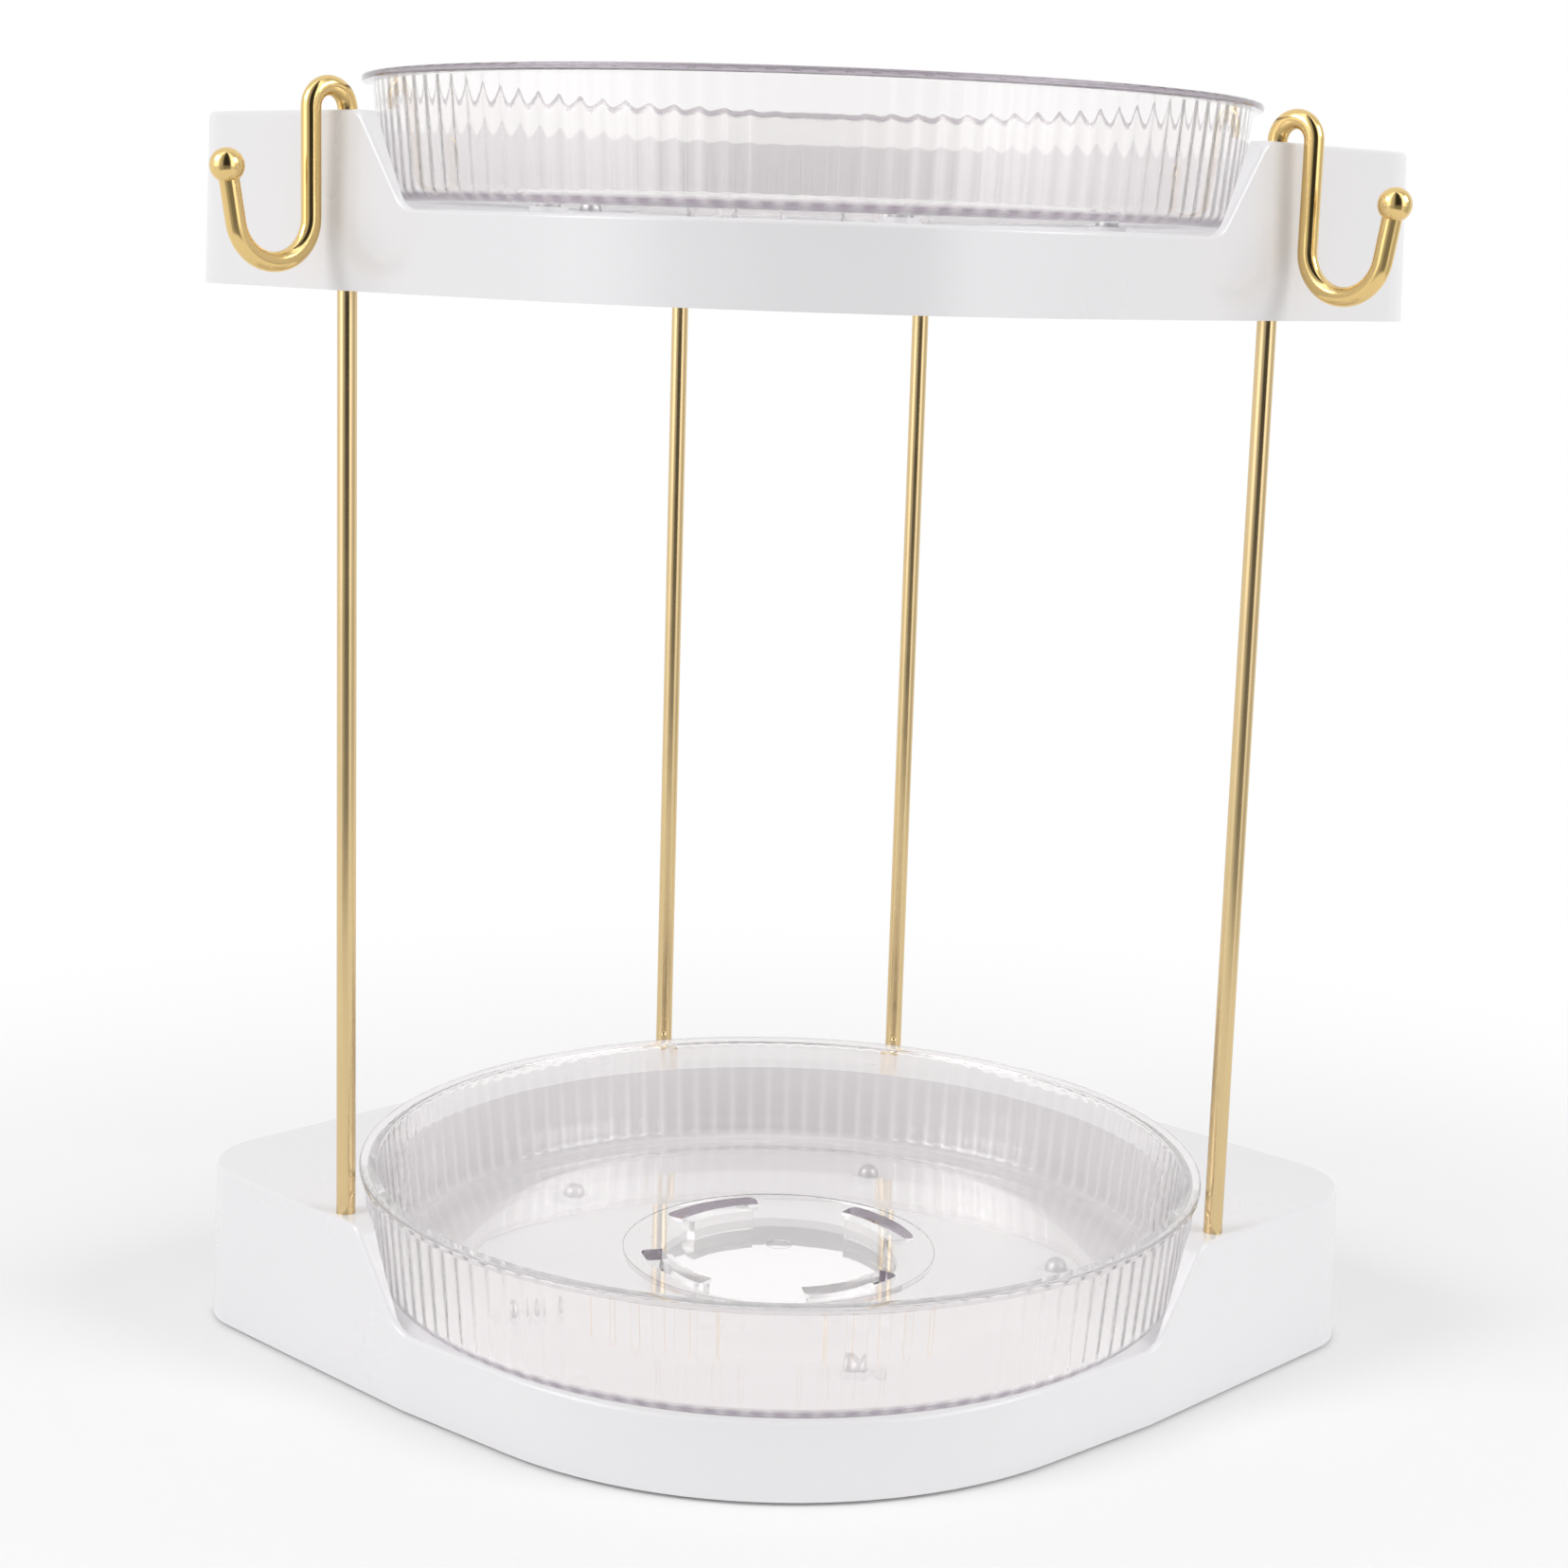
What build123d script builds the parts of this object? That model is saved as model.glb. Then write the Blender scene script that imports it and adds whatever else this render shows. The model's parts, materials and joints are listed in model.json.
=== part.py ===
from build123d import *
import math
import os

# Two-tier rotating makeup organizer for a corner, in millimetres, +Z up, front towards -Y.
# Two equal white frames stand one above the other on four gilt rods. A clear ribbed tray turns
# on five balls in the round pan of each frame, held down by snap legs in the pan's hole. A gilt
# hook is screwed into the top of each front rod and hangs over the wall of the upper frame.
# Sub-parts are drawn around the turntable axis with z = 0 at the lower frame's bottom edge.
# place() then moves them so that the origin is the middle of the footprint, on the feet.

# Trays
TRAY_FOOT_R = 109.6     # outside of the wall, at its foot
TRAY_FLARE = 2.7        # from the foot of the wall out to its top
TRAY_WALL_T = 2.2
TRAY_FLOOR_T = 2.3
TRAY_CORNER_R = 4.5
TRAY_FOOT_EDGE_R = 1.8
TRAY_FOOT_GAP = 3.9     # foot of the wall above the pan's floor
RIM_REACH = 2.7         # rim past the top of the wall
RIM_RISE = 9.4          # top of the rim above the deck
RIM_T = 2.5
RIM_EDGE_R = 0.9
FLUTE_COUNT = 120       # upright half-round ribs on the inside of the wall
FLUTE_H = 0.7
FLUTE_END_L = 1.5       # run-out at the top of a rib
PLAIN_BAND_H = 6.4      # smooth wall above the run-out
GATE_R = 3.6
GATE_DEPTH = 0.4

# Frame section
FRAME_H = 43.8
WALL_T = 2.5
DRAFT_DEG = 1.75
DECK_EDGE_R = 1.2
PAN_Z = 20.3            # top of the pan's floor
PAN_FLOOR_T = 2.5
PAN_FOOT_GAP = 1.2      # tray's foot to the wall of the pan, at its floor
PAN_MOUTH_GAP = 1.6     # tray's wall to the mouth of the pan, at the deck
PAN_CORNER_R = 2.0
PAN_HOLE_R = 33.0

# Frame plan, at its bottom edge
NOSE_SETBACK = 4.2      # round front wall behind the tray's foot
KINK_SETBACK = 2.8      # flank's end short of the notch's foot, along the 45 degree front wall
DECK_SIDE_W = 16.2      # mouth of the pan to each 45 degree rear wall
DECK_BACK_W = 28.8      # mouth of the pan to the short rear wall
SIDE_CORNER_R = 22.0
REAR_CORNER_R = 12.0
KINK_R = 30.0

# Front notch: lip between the pan and the outer wall at the ends of the notch
NOTCH_FLOOR_LIP = 1.4
NOTCH_TOP_LIP = 4.9
NOTCH_TOP_R = 6.0
NOTCH_FLOOR_R = 9.0

# Stiffening under the pan
RIB_COUNT = 8
RIB_T = 1.8
RIB_DEPTH = 9.0
RIB_RING_MARGIN = 9.0   # hole of the pan to the ring around it

# Rods and their bosses
TIER_RISE = 285.1       # lower frame to upper frame
ROD_R = 2.5
ROD_WALL = 0.8
FRONT_ROD_DEG = 13.95   # in front of the X axis
FRONT_ROD_GAP = 1.5     # rim to rod
FRONT_ROD_INSET = 6.1   # rod's axis behind the front side wall
REAR_ROD_INSET = 9.6    # rod's axis behind the rear wall and the rear side wall
BOSS_WALL = 2.6
BOSS_FOOT_Z = 4.0
SOCKET_DEPTH = 14.0
WEB_T = 3.0
SOCKET_CLEAR = 0.05     # radial, rod or hook shank in its socket
DIMPLE_R = 1.2
DIMPLE_DEPTH = 0.4
DIMPLE_RISE = 5.5       # above the deck
FRONT_DIMPLE_DEG = 50.0

# Threaded inserts in the rod ends and the screws that go into them
INSERT_CLEAR = 0.02     # radial, insert in rod
INSERT_SPARE_L = 4.0    # upper insert past the end of its screw
LOWER_INSERT_L = 22.0
THREAD_R = 1.25
THREAD_CLEAR = 0.05     # radial, plain shank standing for the thread
WEB_HOLE_CLEAR = 0.2    # radial, shank in the web
SCREW_L = 12.0          # under the head
SCREW_HEAD_CLEAR = 0.35 # radial, head in the socket
SCREW_HEAD_H = 1.6
DRIVE_SLOT_W = 0.7
DRIVE_SLOT_DEPTH = 0.8

# Feet
FOOT_R = 5.5
FOOT_T = 2.5
FOOT_PROUD_H = 1.0      # below the frame's bottom edge
FOOT_EDGE_R = 0.5
FOOT_POST_MARGIN = 1.0
FOOT_INSET = 17.0       # foot's axis behind the wall

# Bearing balls
BALL_COUNT = 5
BALL_R = 3.0
BALL_PATH_INSET = 32.6  # path of the balls inside the tray's foot
BALL_FIRST_DEG = -3.0
BALL_SINK_DEPTH = 1.05  # ball below the pan's floor
BALL_CLEAR = 0.1        # radial, ball in its cup
BALL_TOP_GAP = 0.25     # under the tray
CUP_WALL = 1.7
CUP_H = 1.6             # above the pan's floor

# Snap legs under the tray, in the hole of the pan, and the moulding slots above their barbs
LEG_COUNT = 4
LEG_FIRST_DEG = 33.0
LEG_SPAN_DEG = 38.0
LEG_T = 2.4
LEG_CLEAR = 0.3         # radial, leg in the pan's hole
LEG_DROP_L = 5.3        # end of the leg below the pan
BARB_REACH = 2.6
BARB_LIP = 1.2
BARB_GAP = 0.4          # under the pan's floor
SLOT_SPARE_W = 3.5      # slot past the barb
SLOT_SPAN_DEG = 46.0

# Hooks, in an upright plane square to the front side wall
HOOK_WALL_GAP = 2.3     # long leg to the bottom edge of the wall
HOOK_DECK_GAP = 3.2     # deck to the underside of the bend
HOOK_DROP = 43.0        # top of the bend to the bottom of the U, on the centre line
HOOK_U_R = 11.1
HOOK_LEAN_DEG = 10.0
HOOK_TIP_L = 13.6       # end of the U to the centre of the ball
HOOK_STUD_L = 12.0
HOOK_SEAT_GAP = 0.1     # shank above the web of its socket
KNOB_R = 4.25
KNOB_CLEAR = 0.02       # radial, wire in the knob
KNOB_SPARE_L = 1.0      # wire end past the knob's centre

# Heights that follow from the ones above
PAN_UNDER_Z = PAN_Z - PAN_FLOOR_T
BALL_Z = PAN_Z + BALL_R - BALL_SINK_DEPTH
TRAY_UNDER_Z = BALL_Z + BALL_R + BALL_TOP_GAP
TRAY_FLOOR_Z = TRAY_UNDER_Z + TRAY_FLOOR_T
TRAY_FOOT_Z = PAN_Z + TRAY_FOOT_GAP
RIM_TOP_Z = FRAME_H + RIM_RISE
RIM_UNDER_Z = RIM_TOP_Z - RIM_T
PLAIN_Z = RIM_TOP_Z - PLAIN_BAND_H
SOCKET_Z = FRAME_H - SOCKET_DEPTH
WEB_UNDER_Z = SOCKET_Z - WEB_T
FOOT_SEAT_Z = FOOT_T - FOOT_PROUD_H

# Radii that follow, from the turntable axis or from a piece's own axis
TRAY_TOP_R = TRAY_FOOT_R + TRAY_FLARE
TRAY_LEAN = TRAY_FLARE / (RIM_UNDER_Z - TRAY_FOOT_Z)
RIM_R = TRAY_TOP_R + RIM_REACH
PAN_FLOOR_R = TRAY_FOOT_R + PAN_FOOT_GAP
PAN_DECK_R = TRAY_FOOT_R + TRAY_LEAN * (FRAME_H - TRAY_FOOT_Z) + PAN_MOUTH_GAP
BALL_PATH_R = TRAY_FOOT_R - BALL_PATH_INSET
LEG_R = PAN_HOLE_R - LEG_CLEAR
BARB_R = LEG_R + BARB_REACH
SEAT_R = BALL_R + BALL_CLEAR
SOCKET_R = ROD_R + SOCKET_CLEAR
INSERT_R = ROD_R - ROD_WALL - INSERT_CLEAR

# Plan that follows: square distances from the turntable axis to the walls, and places on them.
# A place along a front wall is measured from the foot of its perpendicular.
DIAGONAL = math.sqrt(2)
DRAFT = math.tan(math.radians(DRAFT_DEG))
CUT_MARGIN = WALL_T     # how far a cutting shape runs past the face it opens
FRONT_ROD_R = RIM_R + FRONT_ROD_GAP + ROD_R
FRONT_ROD_X = FRONT_ROD_R * math.cos(math.radians(FRONT_ROD_DEG))
FRONT_ROD_Y = -FRONT_ROD_R * math.sin(math.radians(FRONT_ROD_DEG))
NOSE_R = TRAY_FOOT_R - NOSE_SETBACK
FRONT_WALL = (FRONT_ROD_X - FRONT_ROD_Y) / DIAGONAL + FRONT_ROD_INSET
NOTCH_FLOOR_S = math.sqrt((PAN_FLOOR_R + NOTCH_FLOOR_LIP) ** 2 - (FRONT_WALL - PAN_Z * DRAFT) ** 2)
NOTCH_TOP_S = math.sqrt((PAN_DECK_R + NOTCH_TOP_LIP) ** 2 - (FRONT_WALL - FRAME_H * DRAFT) ** 2)
KINK_S = NOTCH_FLOOR_S - KINK_SETBACK
REAR_WALL = PAN_DECK_R + DECK_SIDE_W
REAR_FLAT = PAN_DECK_R + DECK_BACK_W
SIDE_X = (FRONT_WALL + REAR_WALL) / DIAGONAL
SIDE_Y = (REAR_WALL - FRONT_WALL) / DIAGONAL
SIDE_TIP_X = SIDE_X - SIDE_CORNER_R * (DIAGONAL - 1)
REAR_ROD_Y = REAR_FLAT - REAR_ROD_INSET
REAR_ROD_X = (REAR_WALL - REAR_ROD_INSET) * DIAGONAL - REAR_ROD_Y
HOOK_REACH = FRONT_ROD_INSET + HOOK_WALL_GAP + ROD_R
HOOK_TOP_RISE = HOOK_DECK_GAP + ROD_R
RODS = {
    "front_left": (-FRONT_ROD_X, FRONT_ROD_Y, FRONT_DIMPLE_DEG - 90),
    "front_right": (FRONT_ROD_X, FRONT_ROD_Y, -FRONT_DIMPLE_DEG - 90),
    "rear_left": (-REAR_ROD_X, REAR_ROD_Y, -90),
    "rear_right": (REAR_ROD_X, REAR_ROD_Y, -90),
}
FEET = {
    "front": (0, FOOT_INSET - NOSE_R),
    "left": (FOOT_INSET - SIDE_TIP_X, SIDE_Y),
    "right": (SIDE_TIP_X - FOOT_INSET, SIDE_Y),
    "rear": (0, REAR_FLAT - FOOT_INSET),
}


def bar(x, y, radius, z_low, z_high):
    """An upright round bar between two heights."""
    return Pos(x, y, z_low) * extrude(Circle(radius), z_high - z_low)


def turned(points, rounded=None, arc_deg=360):
    """A solid of revolution about Z. points are (r, z), and rounded maps a point to its radius."""
    face = make_face(Plane.XZ * Polyline(*points, close=True))
    for (r, z), radius in (rounded or {}).items():
        corner = face.vertices().sort_by_distance((r, 0, z))[0]
        face = fillet(corner, radius)
    return revolve(face, Axis.Z, revolution_arc=arc_deg)


def flank_angle():
    """Angle from the -Y axis at which the flank leaves the round nose, along its tangent."""
    bearing = math.pi / 4 + math.atan(KINK_S / FRONT_WALL)
    return bearing - math.acos(NOSE_R / math.hypot(FRONT_WALL, KINK_S))


def outline(inset):
    """The frame's plan, with every wall moved inwards by inset."""
    nose, front, rear = NOSE_R - inset, FRONT_WALL - inset, REAR_WALL - inset
    angle = flank_angle()
    run = front * DIAGONAL - nose * (math.sin(angle) + math.cos(angle))
    run = run / (math.cos(angle) - math.sin(angle))
    tangent = Vector(nose * math.sin(angle), -nose * math.cos(angle))
    kink = tangent + Vector(math.cos(angle), math.sin(angle)) * run
    side = Vector((front + rear) / DIAGONAL, SIDE_Y)
    back = Vector(rear * DIAGONAL - REAR_FLAT + inset, REAR_FLAT - inset)
    right = [tangent, kink, side, back]
    left = [Vector(-p.X, p.Y) for p in reversed(right)]
    front_arc = ThreePointArc(left[-1], (0, -nose), right[0])
    face = make_face([front_arc, Polyline(*right, *left)])
    for point, radius in ((kink, KINK_R), (side, SIDE_CORNER_R), (back, REAR_CORNER_R)):
        for sign in (-1, 1):
            corner = face.vertices().sort_by_distance((sign * point.X, point.Y))[0]
            face = fillet(corner, radius - inset)
    return face


def notch(grow):
    """The opening at the front, down to the pan's floor, with rounded sloping ends."""
    reach = REAR_WALL
    floor_z = PAN_Z - grow
    above = FRAME_H + CUT_MARGIN
    foot = (NOTCH_FLOOR_S + grow, floor_z)
    top = (NOTCH_TOP_S + grow, FRAME_H)
    points = [(-reach, floor_z), foot, top, (reach, FRAME_H), (reach, above), (-reach, above)]
    face = make_face(Polyline(*points, close=True))
    for point, radius in ((foot, NOTCH_FLOOR_R), (top, NOTCH_TOP_R)):
        face = fillet(face.vertices().sort_by_distance(point)[0], radius)
    wall = Plane(origin=(0, 0, 0), x_dir=(1, 1, 0), z_dir=(1, -1, 0))
    cut = extrude(wall.offset(NOSE_R / 2) * face, NOSE_R)
    return cut + mirror(cut, about=Plane.YZ)


def soften(block):
    """Round the outer edges of the deck, of the notch and of the nose on a block with no hollow."""
    low = PAN_Z / 2
    edges = ShapeList()
    for face in block.faces():
        box = face.bounding_box()
        if box.min.Z < low < box.max.Z:
            edges += [edge for edge in face.edges() if edge.bounding_box().min.Z > low]
    return fillet(edges, DECK_EDGE_R)


def underside():
    """What fills the frame's hollow: the shell of the pan and notch, bosses, foot posts and ribs."""
    ring_in = PAN_HOLE_R + RIB_RING_MARGIN
    rib_low = PAN_UNDER_Z - RIB_DEPTH
    rib_length = REAR_WALL + FRONT_WALL
    solid = bar(0, 0, PAN_DECK_R + WALL_T, PAN_UNDER_Z, FRAME_H) + notch(WALL_T)
    solid += bar(0, 0, ring_in + RIB_T, rib_low, PAN_Z) - bar(0, 0, ring_in, rib_low, PAN_UNDER_Z)
    for number in range(RIB_COUNT):
        rib = Pos(ring_in + rib_length / 2, 0, rib_low + RIB_DEPTH / 2)
        solid += Rot(Z=number * 360 / RIB_COUNT) * rib * Box(rib_length, RIB_T, RIB_DEPTH)
    for x, y, _ in RODS.values():
        solid += bar(x, y, SOCKET_R + BOSS_WALL, BOSS_FOOT_Z, FRAME_H)
    for x, y in FEET.values():
        solid += bar(x, y, FOOT_R + FOOT_POST_MARGIN, FOOT_SEAT_Z, FRAME_H)
    return solid


def ball_places():
    """Plan positions of the bearing balls around the turntable axis."""
    return PolarLocations(BALL_PATH_R, BALL_COUNT, BALL_FIRST_DEG)


def frame():
    """One white frame: a drafted shell, open below, with the pan, notch, sockets and ball cups."""
    above = FRAME_H + CUT_MARGIN
    floor_edge = (PAN_FLOOR_R, PAN_Z)
    pan = [(0, PAN_Z), floor_edge, (PAN_DECK_R, FRAME_H), (PAN_DECK_R, above), (0, above)]
    block = extrude(outline(0), FRAME_H, taper=DRAFT_DEG)
    block -= turned(pan, {floor_edge: PAN_CORNER_R})
    block -= notch(0)
    hollow = extrude(outline(WALL_T), FRAME_H - WALL_T, taper=DRAFT_DEG)
    solid = soften(block) - (hollow - underside())
    solid += [spot * bar(0, 0, SEAT_R + CUP_WALL, PAN_Z, PAN_Z + CUP_H) for spot in ball_places()]
    solid -= [spot * Pos(0, 0, BALL_Z) * Sphere(SEAT_R) for spot in ball_places()]
    solid -= bar(0, 0, PAN_HOLE_R, PAN_UNDER_Z - CUT_MARGIN, above)
    for x, y, _ in RODS.values():
        solid -= bar(x, y, SOCKET_R, SOCKET_Z, above)
        solid -= bar(x, y, THREAD_R + WEB_HOLE_CLEAR, WEB_UNDER_Z, SOCKET_Z)
        solid -= bar(x, y, SOCKET_R, BOSS_FOOT_Z - CUT_MARGIN, WEB_UNDER_Z)
    return solid


def rod(x, y, dimple_deg):
    """A gilt tube between the two frames, dimpled where it is crimped on its lower insert."""
    low, high = SOCKET_Z, TIER_RISE + WEB_UNDER_Z
    tube = bar(x, y, ROD_R, low, high) - bar(x, y, ROD_R - ROD_WALL, low, high)
    centre = ROD_R + DIMPLE_R - DIMPLE_DEPTH
    dimple = Rot(Z=dimple_deg) * Pos(centre, 0, FRAME_H + DIMPLE_RISE) * Sphere(DIMPLE_R)
    return tube - Pos(x, y, 0) * dimple


def insert(x, y, z_low, z_high):
    """A threaded sleeve in one end of a rod."""
    bore_r = THREAD_R + THREAD_CLEAR
    return bar(x, y, INSERT_R, z_low, z_high) - bar(x, y, bore_r, z_low, z_high)


def screw():
    """A slotted screw with its head's seat at z = 0, pointing up."""
    head_r = SOCKET_R - SCREW_HEAD_CLEAR
    head = bar(0, 0, head_r, -SCREW_HEAD_H, 0)
    slot = Box(2 * head_r, DRIVE_SLOT_W, DRIVE_SLOT_DEPTH)
    head -= Pos(0, 0, DRIVE_SLOT_DEPTH / 2 - SCREW_HEAD_H) * slot
    return head + bar(0, 0, THREAD_R, 0, SCREW_L)


def foot(x, y):
    """A rubber pad under its post."""
    pad = bar(x, y, FOOT_R, -FOOT_PROUD_H, FOOT_SEAT_Z)
    return fillet(pad.edges().group_by(Axis.Z)[0], FOOT_EDGE_R)


def snap_leg(mid_deg):
    """One leg that hangs through the pan's hole, with a barb under the pan's floor."""
    barb_z = PAN_UNDER_Z - BARB_GAP
    end_z = PAN_UNDER_Z - LEG_DROP_L
    inner = LEG_R - LEG_T
    points = [(inner, TRAY_UNDER_Z), (inner, end_z), (LEG_R, end_z)]
    points += [(BARB_R, barb_z - BARB_LIP), (BARB_R, barb_z)]
    points += [(LEG_R, barb_z), (LEG_R, TRAY_UNDER_Z)]
    return Rot(Z=mid_deg - LEG_SPAN_DEG / 2) * turned(points, arc_deg=LEG_SPAN_DEG)


def moulding_slot(mid_deg):
    """The curved slot through the tray's floor above one barb."""
    low, high = TRAY_UNDER_Z - TRAY_FLOOR_T, TRAY_FLOOR_Z + TRAY_FLOOR_T
    outer = BARB_R + SLOT_SPARE_W
    points = [(LEG_R, low), (outer, low), (outer, high), (LEG_R, high)]
    return Rot(Z=mid_deg - SLOT_SPAN_DEG / 2) * turned(points, arc_deg=SLOT_SPAN_DEG)


def tray_inside(z):
    """Inner radius of the tray's flaring wall at one height."""
    return TRAY_FOOT_R - TRAY_WALL_T + TRAY_LEAN * (z - TRAY_FOOT_Z)


def fluted(radius, rib, z):
    """A level face edged by one arc per rib, each bulging inwards by rib."""
    step = 360 / FLUTE_COUNT
    ends = [Vector(radius, 0).rotate(Axis.Z, number * step) for number in range(FLUTE_COUNT + 1)]
    crest = Vector(radius - rib, 0)
    arcs = []
    for number in range(FLUTE_COUNT):
        middle = crest.rotate(Axis.Z, (number + 0.5) * step)
        arcs.append(ThreePointArc(ends[number], middle, ends[number + 1]))
    return Pos(0, 0, z) * make_face(arcs)


def tray_hollow():
    """The ribbed inside of the tray, from its floor up to where the ribs run out."""
    low_r = tray_inside(TRAY_FLOOR_Z)
    bevel = TRAY_CORNER_R * (1 - math.sqrt(0.5))
    corner_z = TRAY_FLOOR_Z + TRAY_CORNER_R
    full_z = PLAIN_Z - FLUTE_END_L
    levels = [
        fluted(low_r - TRAY_CORNER_R, 0, TRAY_FLOOR_Z),
        fluted(low_r - bevel, FLUTE_H / 2, TRAY_FLOOR_Z + bevel),
        fluted(tray_inside(corner_z), FLUTE_H, corner_z),
        fluted(tray_inside(full_z), FLUTE_H, full_z),
        fluted(tray_inside(PLAIN_Z), 0, PLAIN_Z),
    ]
    return loft(levels, ruled=True)


def tray():
    """A clear round tray with a flaring ribbed wall, a rim, a foot ring and four snap legs."""
    foot_in = TRAY_FOOT_R - TRAY_WALL_T
    outside = [(foot_in, TRAY_FOOT_Z), (TRAY_FOOT_R, TRAY_FOOT_Z), (TRAY_TOP_R, RIM_UNDER_Z)]
    outside += [(RIM_R, RIM_UNDER_Z), (RIM_R, RIM_TOP_Z), (tray_inside(RIM_TOP_Z), RIM_TOP_Z)]
    inside = [(tray_inside(PLAIN_Z), PLAIN_Z), (0, PLAIN_Z)]
    under = [(0, TRAY_UNDER_Z), (foot_in, TRAY_UNDER_Z)]
    rounded = {outside[1]: TRAY_FOOT_EDGE_R}
    rounded.update({corner: RIM_EDGE_R for corner in outside[3:]})
    solid = turned(outside + inside + under, rounded) - tray_hollow()
    solid -= bar(0, 0, GATE_R, TRAY_FLOOR_Z - GATE_DEPTH, TRAY_FLOOR_Z)
    for number in range(LEG_COUNT):
        mid_deg = LEG_FIRST_DEG + number * 360 / LEG_COUNT
        solid += snap_leg(mid_deg)
        solid -= moulding_slot(mid_deg)
    return solid


def hook_path():
    """Centre line of the hook's wire in its own plane: x outwards from the rod, y up, deck at 0."""
    bend_r = HOOK_REACH / 2
    bend_y = HOOK_TOP_RISE - bend_r
    seat = (0, HOOK_SEAT_GAP - SOCKET_DEPTH)
    u_y = HOOK_TOP_RISE - HOOK_DROP + HOOK_U_R
    shank = Line(seat, (0, bend_y))
    bend = CenterArc((bend_r, bend_y), bend_r, 180, -180)
    leg = Line(bend @ 1, (HOOK_REACH, u_y))
    bowl = CenterArc((HOOK_REACH + HOOK_U_R, u_y), HOOK_U_R, 180, 180 - HOOK_LEAN_DEG)
    tip = Line(bowl @ 1, bowl @ 1 + bowl % 1 * (HOOK_TIP_L + KNOB_SPARE_L))
    return [shank, bend, leg, bowl, tip]


def hook_plane(sign):
    """The upright plane of one hook, at its rod, with x pointing out through the wall."""
    return Plane(origin=(sign * FRONT_ROD_X, FRONT_ROD_Y, TIER_RISE + FRAME_H),
                 x_dir=(sign, -1, 0), z_dir=(-1, -sign, 0))


def hook(sign):
    """The bent wire of one hook, with the turned-down stud that screws into the rod."""
    plane = hook_plane(sign)
    path = Wire([plane * edge for edge in hook_path()])
    start = Plane(origin=path @ 0, z_dir=path % 0)
    wire = sweep(start * Circle(ROD_R), path=path)
    seat_z = TIER_RISE + SOCKET_Z + HOOK_SEAT_GAP
    return wire + bar(sign * FRONT_ROD_X, FRONT_ROD_Y, THREAD_R, seat_z - HOOK_STUD_L, seat_z)


def knob(sign):
    """The ball on the end of a hook, bored for the wire."""
    tip = hook_plane(sign) * hook_path()[-1]
    heading = tip % 1
    wire_end = tip @ 1
    ball = Pos(wire_end - heading * KNOB_SPARE_L) * Sphere(KNOB_R)
    bore = Plane(origin=wire_end, z_dir=-heading) * Circle(ROD_R + KNOB_CLEAR)
    return ball - extrude(bore, 2 * KNOB_R)


def place(part):
    """Move a sub-part from the turntable axis to the middle of the footprint, on the feet."""
    return Pos(0, (RIM_R - REAR_FLAT) / 2, FOOT_PROUD_H) * part


def save(name, part):
    """Write one node."""
    export_step(place(part), f"parts/{name}.step")


def main():
    """Write every node of the organizer."""
    os.makedirs("parts", exist_ok=True)
    raise_tier = Pos(0, 0, TIER_RISE)
    one_frame, one_tray, one_screw = frame(), tray(), screw()
    one_ball = Pos(0, 0, BALL_Z) * Sphere(BALL_R)
    for tier, lift in (("lower", Pos(0, 0, 0)), ("upper", raise_tier)):
        save(f"{tier}_frame", lift * one_frame)
        save(f"{tier}_tray", lift * one_tray)
        for number, spot in enumerate(ball_places(), start=1):
            save(f"{tier}_bearing_ball_{number}", lift * spot * one_ball)
    for name, (x, y, dimple_deg) in RODS.items():
        save(f"rod_{name}", rod(x, y, dimple_deg))
    for name, (x, y) in FEET.items():
        save(f"foot_{name}", foot(x, y))
    spots = [(x, y) for x, y, _ in RODS.values()]
    rod_top = TIER_RISE + WEB_UNDER_Z
    high_low = rod_top - (SCREW_L - WEB_T + INSERT_SPARE_L)
    low_inserts = [insert(x, y, SOCKET_Z, SOCKET_Z + LOWER_INSERT_L) for x, y in spots]
    high_inserts = [insert(x, y, high_low, rod_top) for x, y in spots]
    save("lower_rod_inserts", Compound(low_inserts))
    save("upper_rod_inserts", Compound(high_inserts))
    save("lower_rod_screws", Compound([Pos(x, y, WEB_UNDER_Z) * one_screw for x, y in spots]))
    turned_down = Pos(0, 0, TIER_RISE + SOCKET_Z) * Rot(X=180) * one_screw
    save("upper_rear_screws", Compound([Pos(x, y, 0) * turned_down for x, y in spots[2:]]))
    for side, sign in (("left", -1), ("right", 1)):
        save(f"hook_{side}", hook(sign))
        save(f"hook_{side}_knob", knob(sign))


main()
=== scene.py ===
"""Looks of a free-standing corner makeup organizer with two turning trays.

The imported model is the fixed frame. White shells, gilt rods, hooks, balls, screws and feet keep their
own solids and get finishes. The clear trays are worked out anew as fine ribbed surfaces.
"""

import json
import logging
import math
from dataclasses import dataclass, field
from enum import Enum, IntEnum
from typing import Optional

import bpy
import numpy as np
from mathutils import Matrix, Vector


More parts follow.
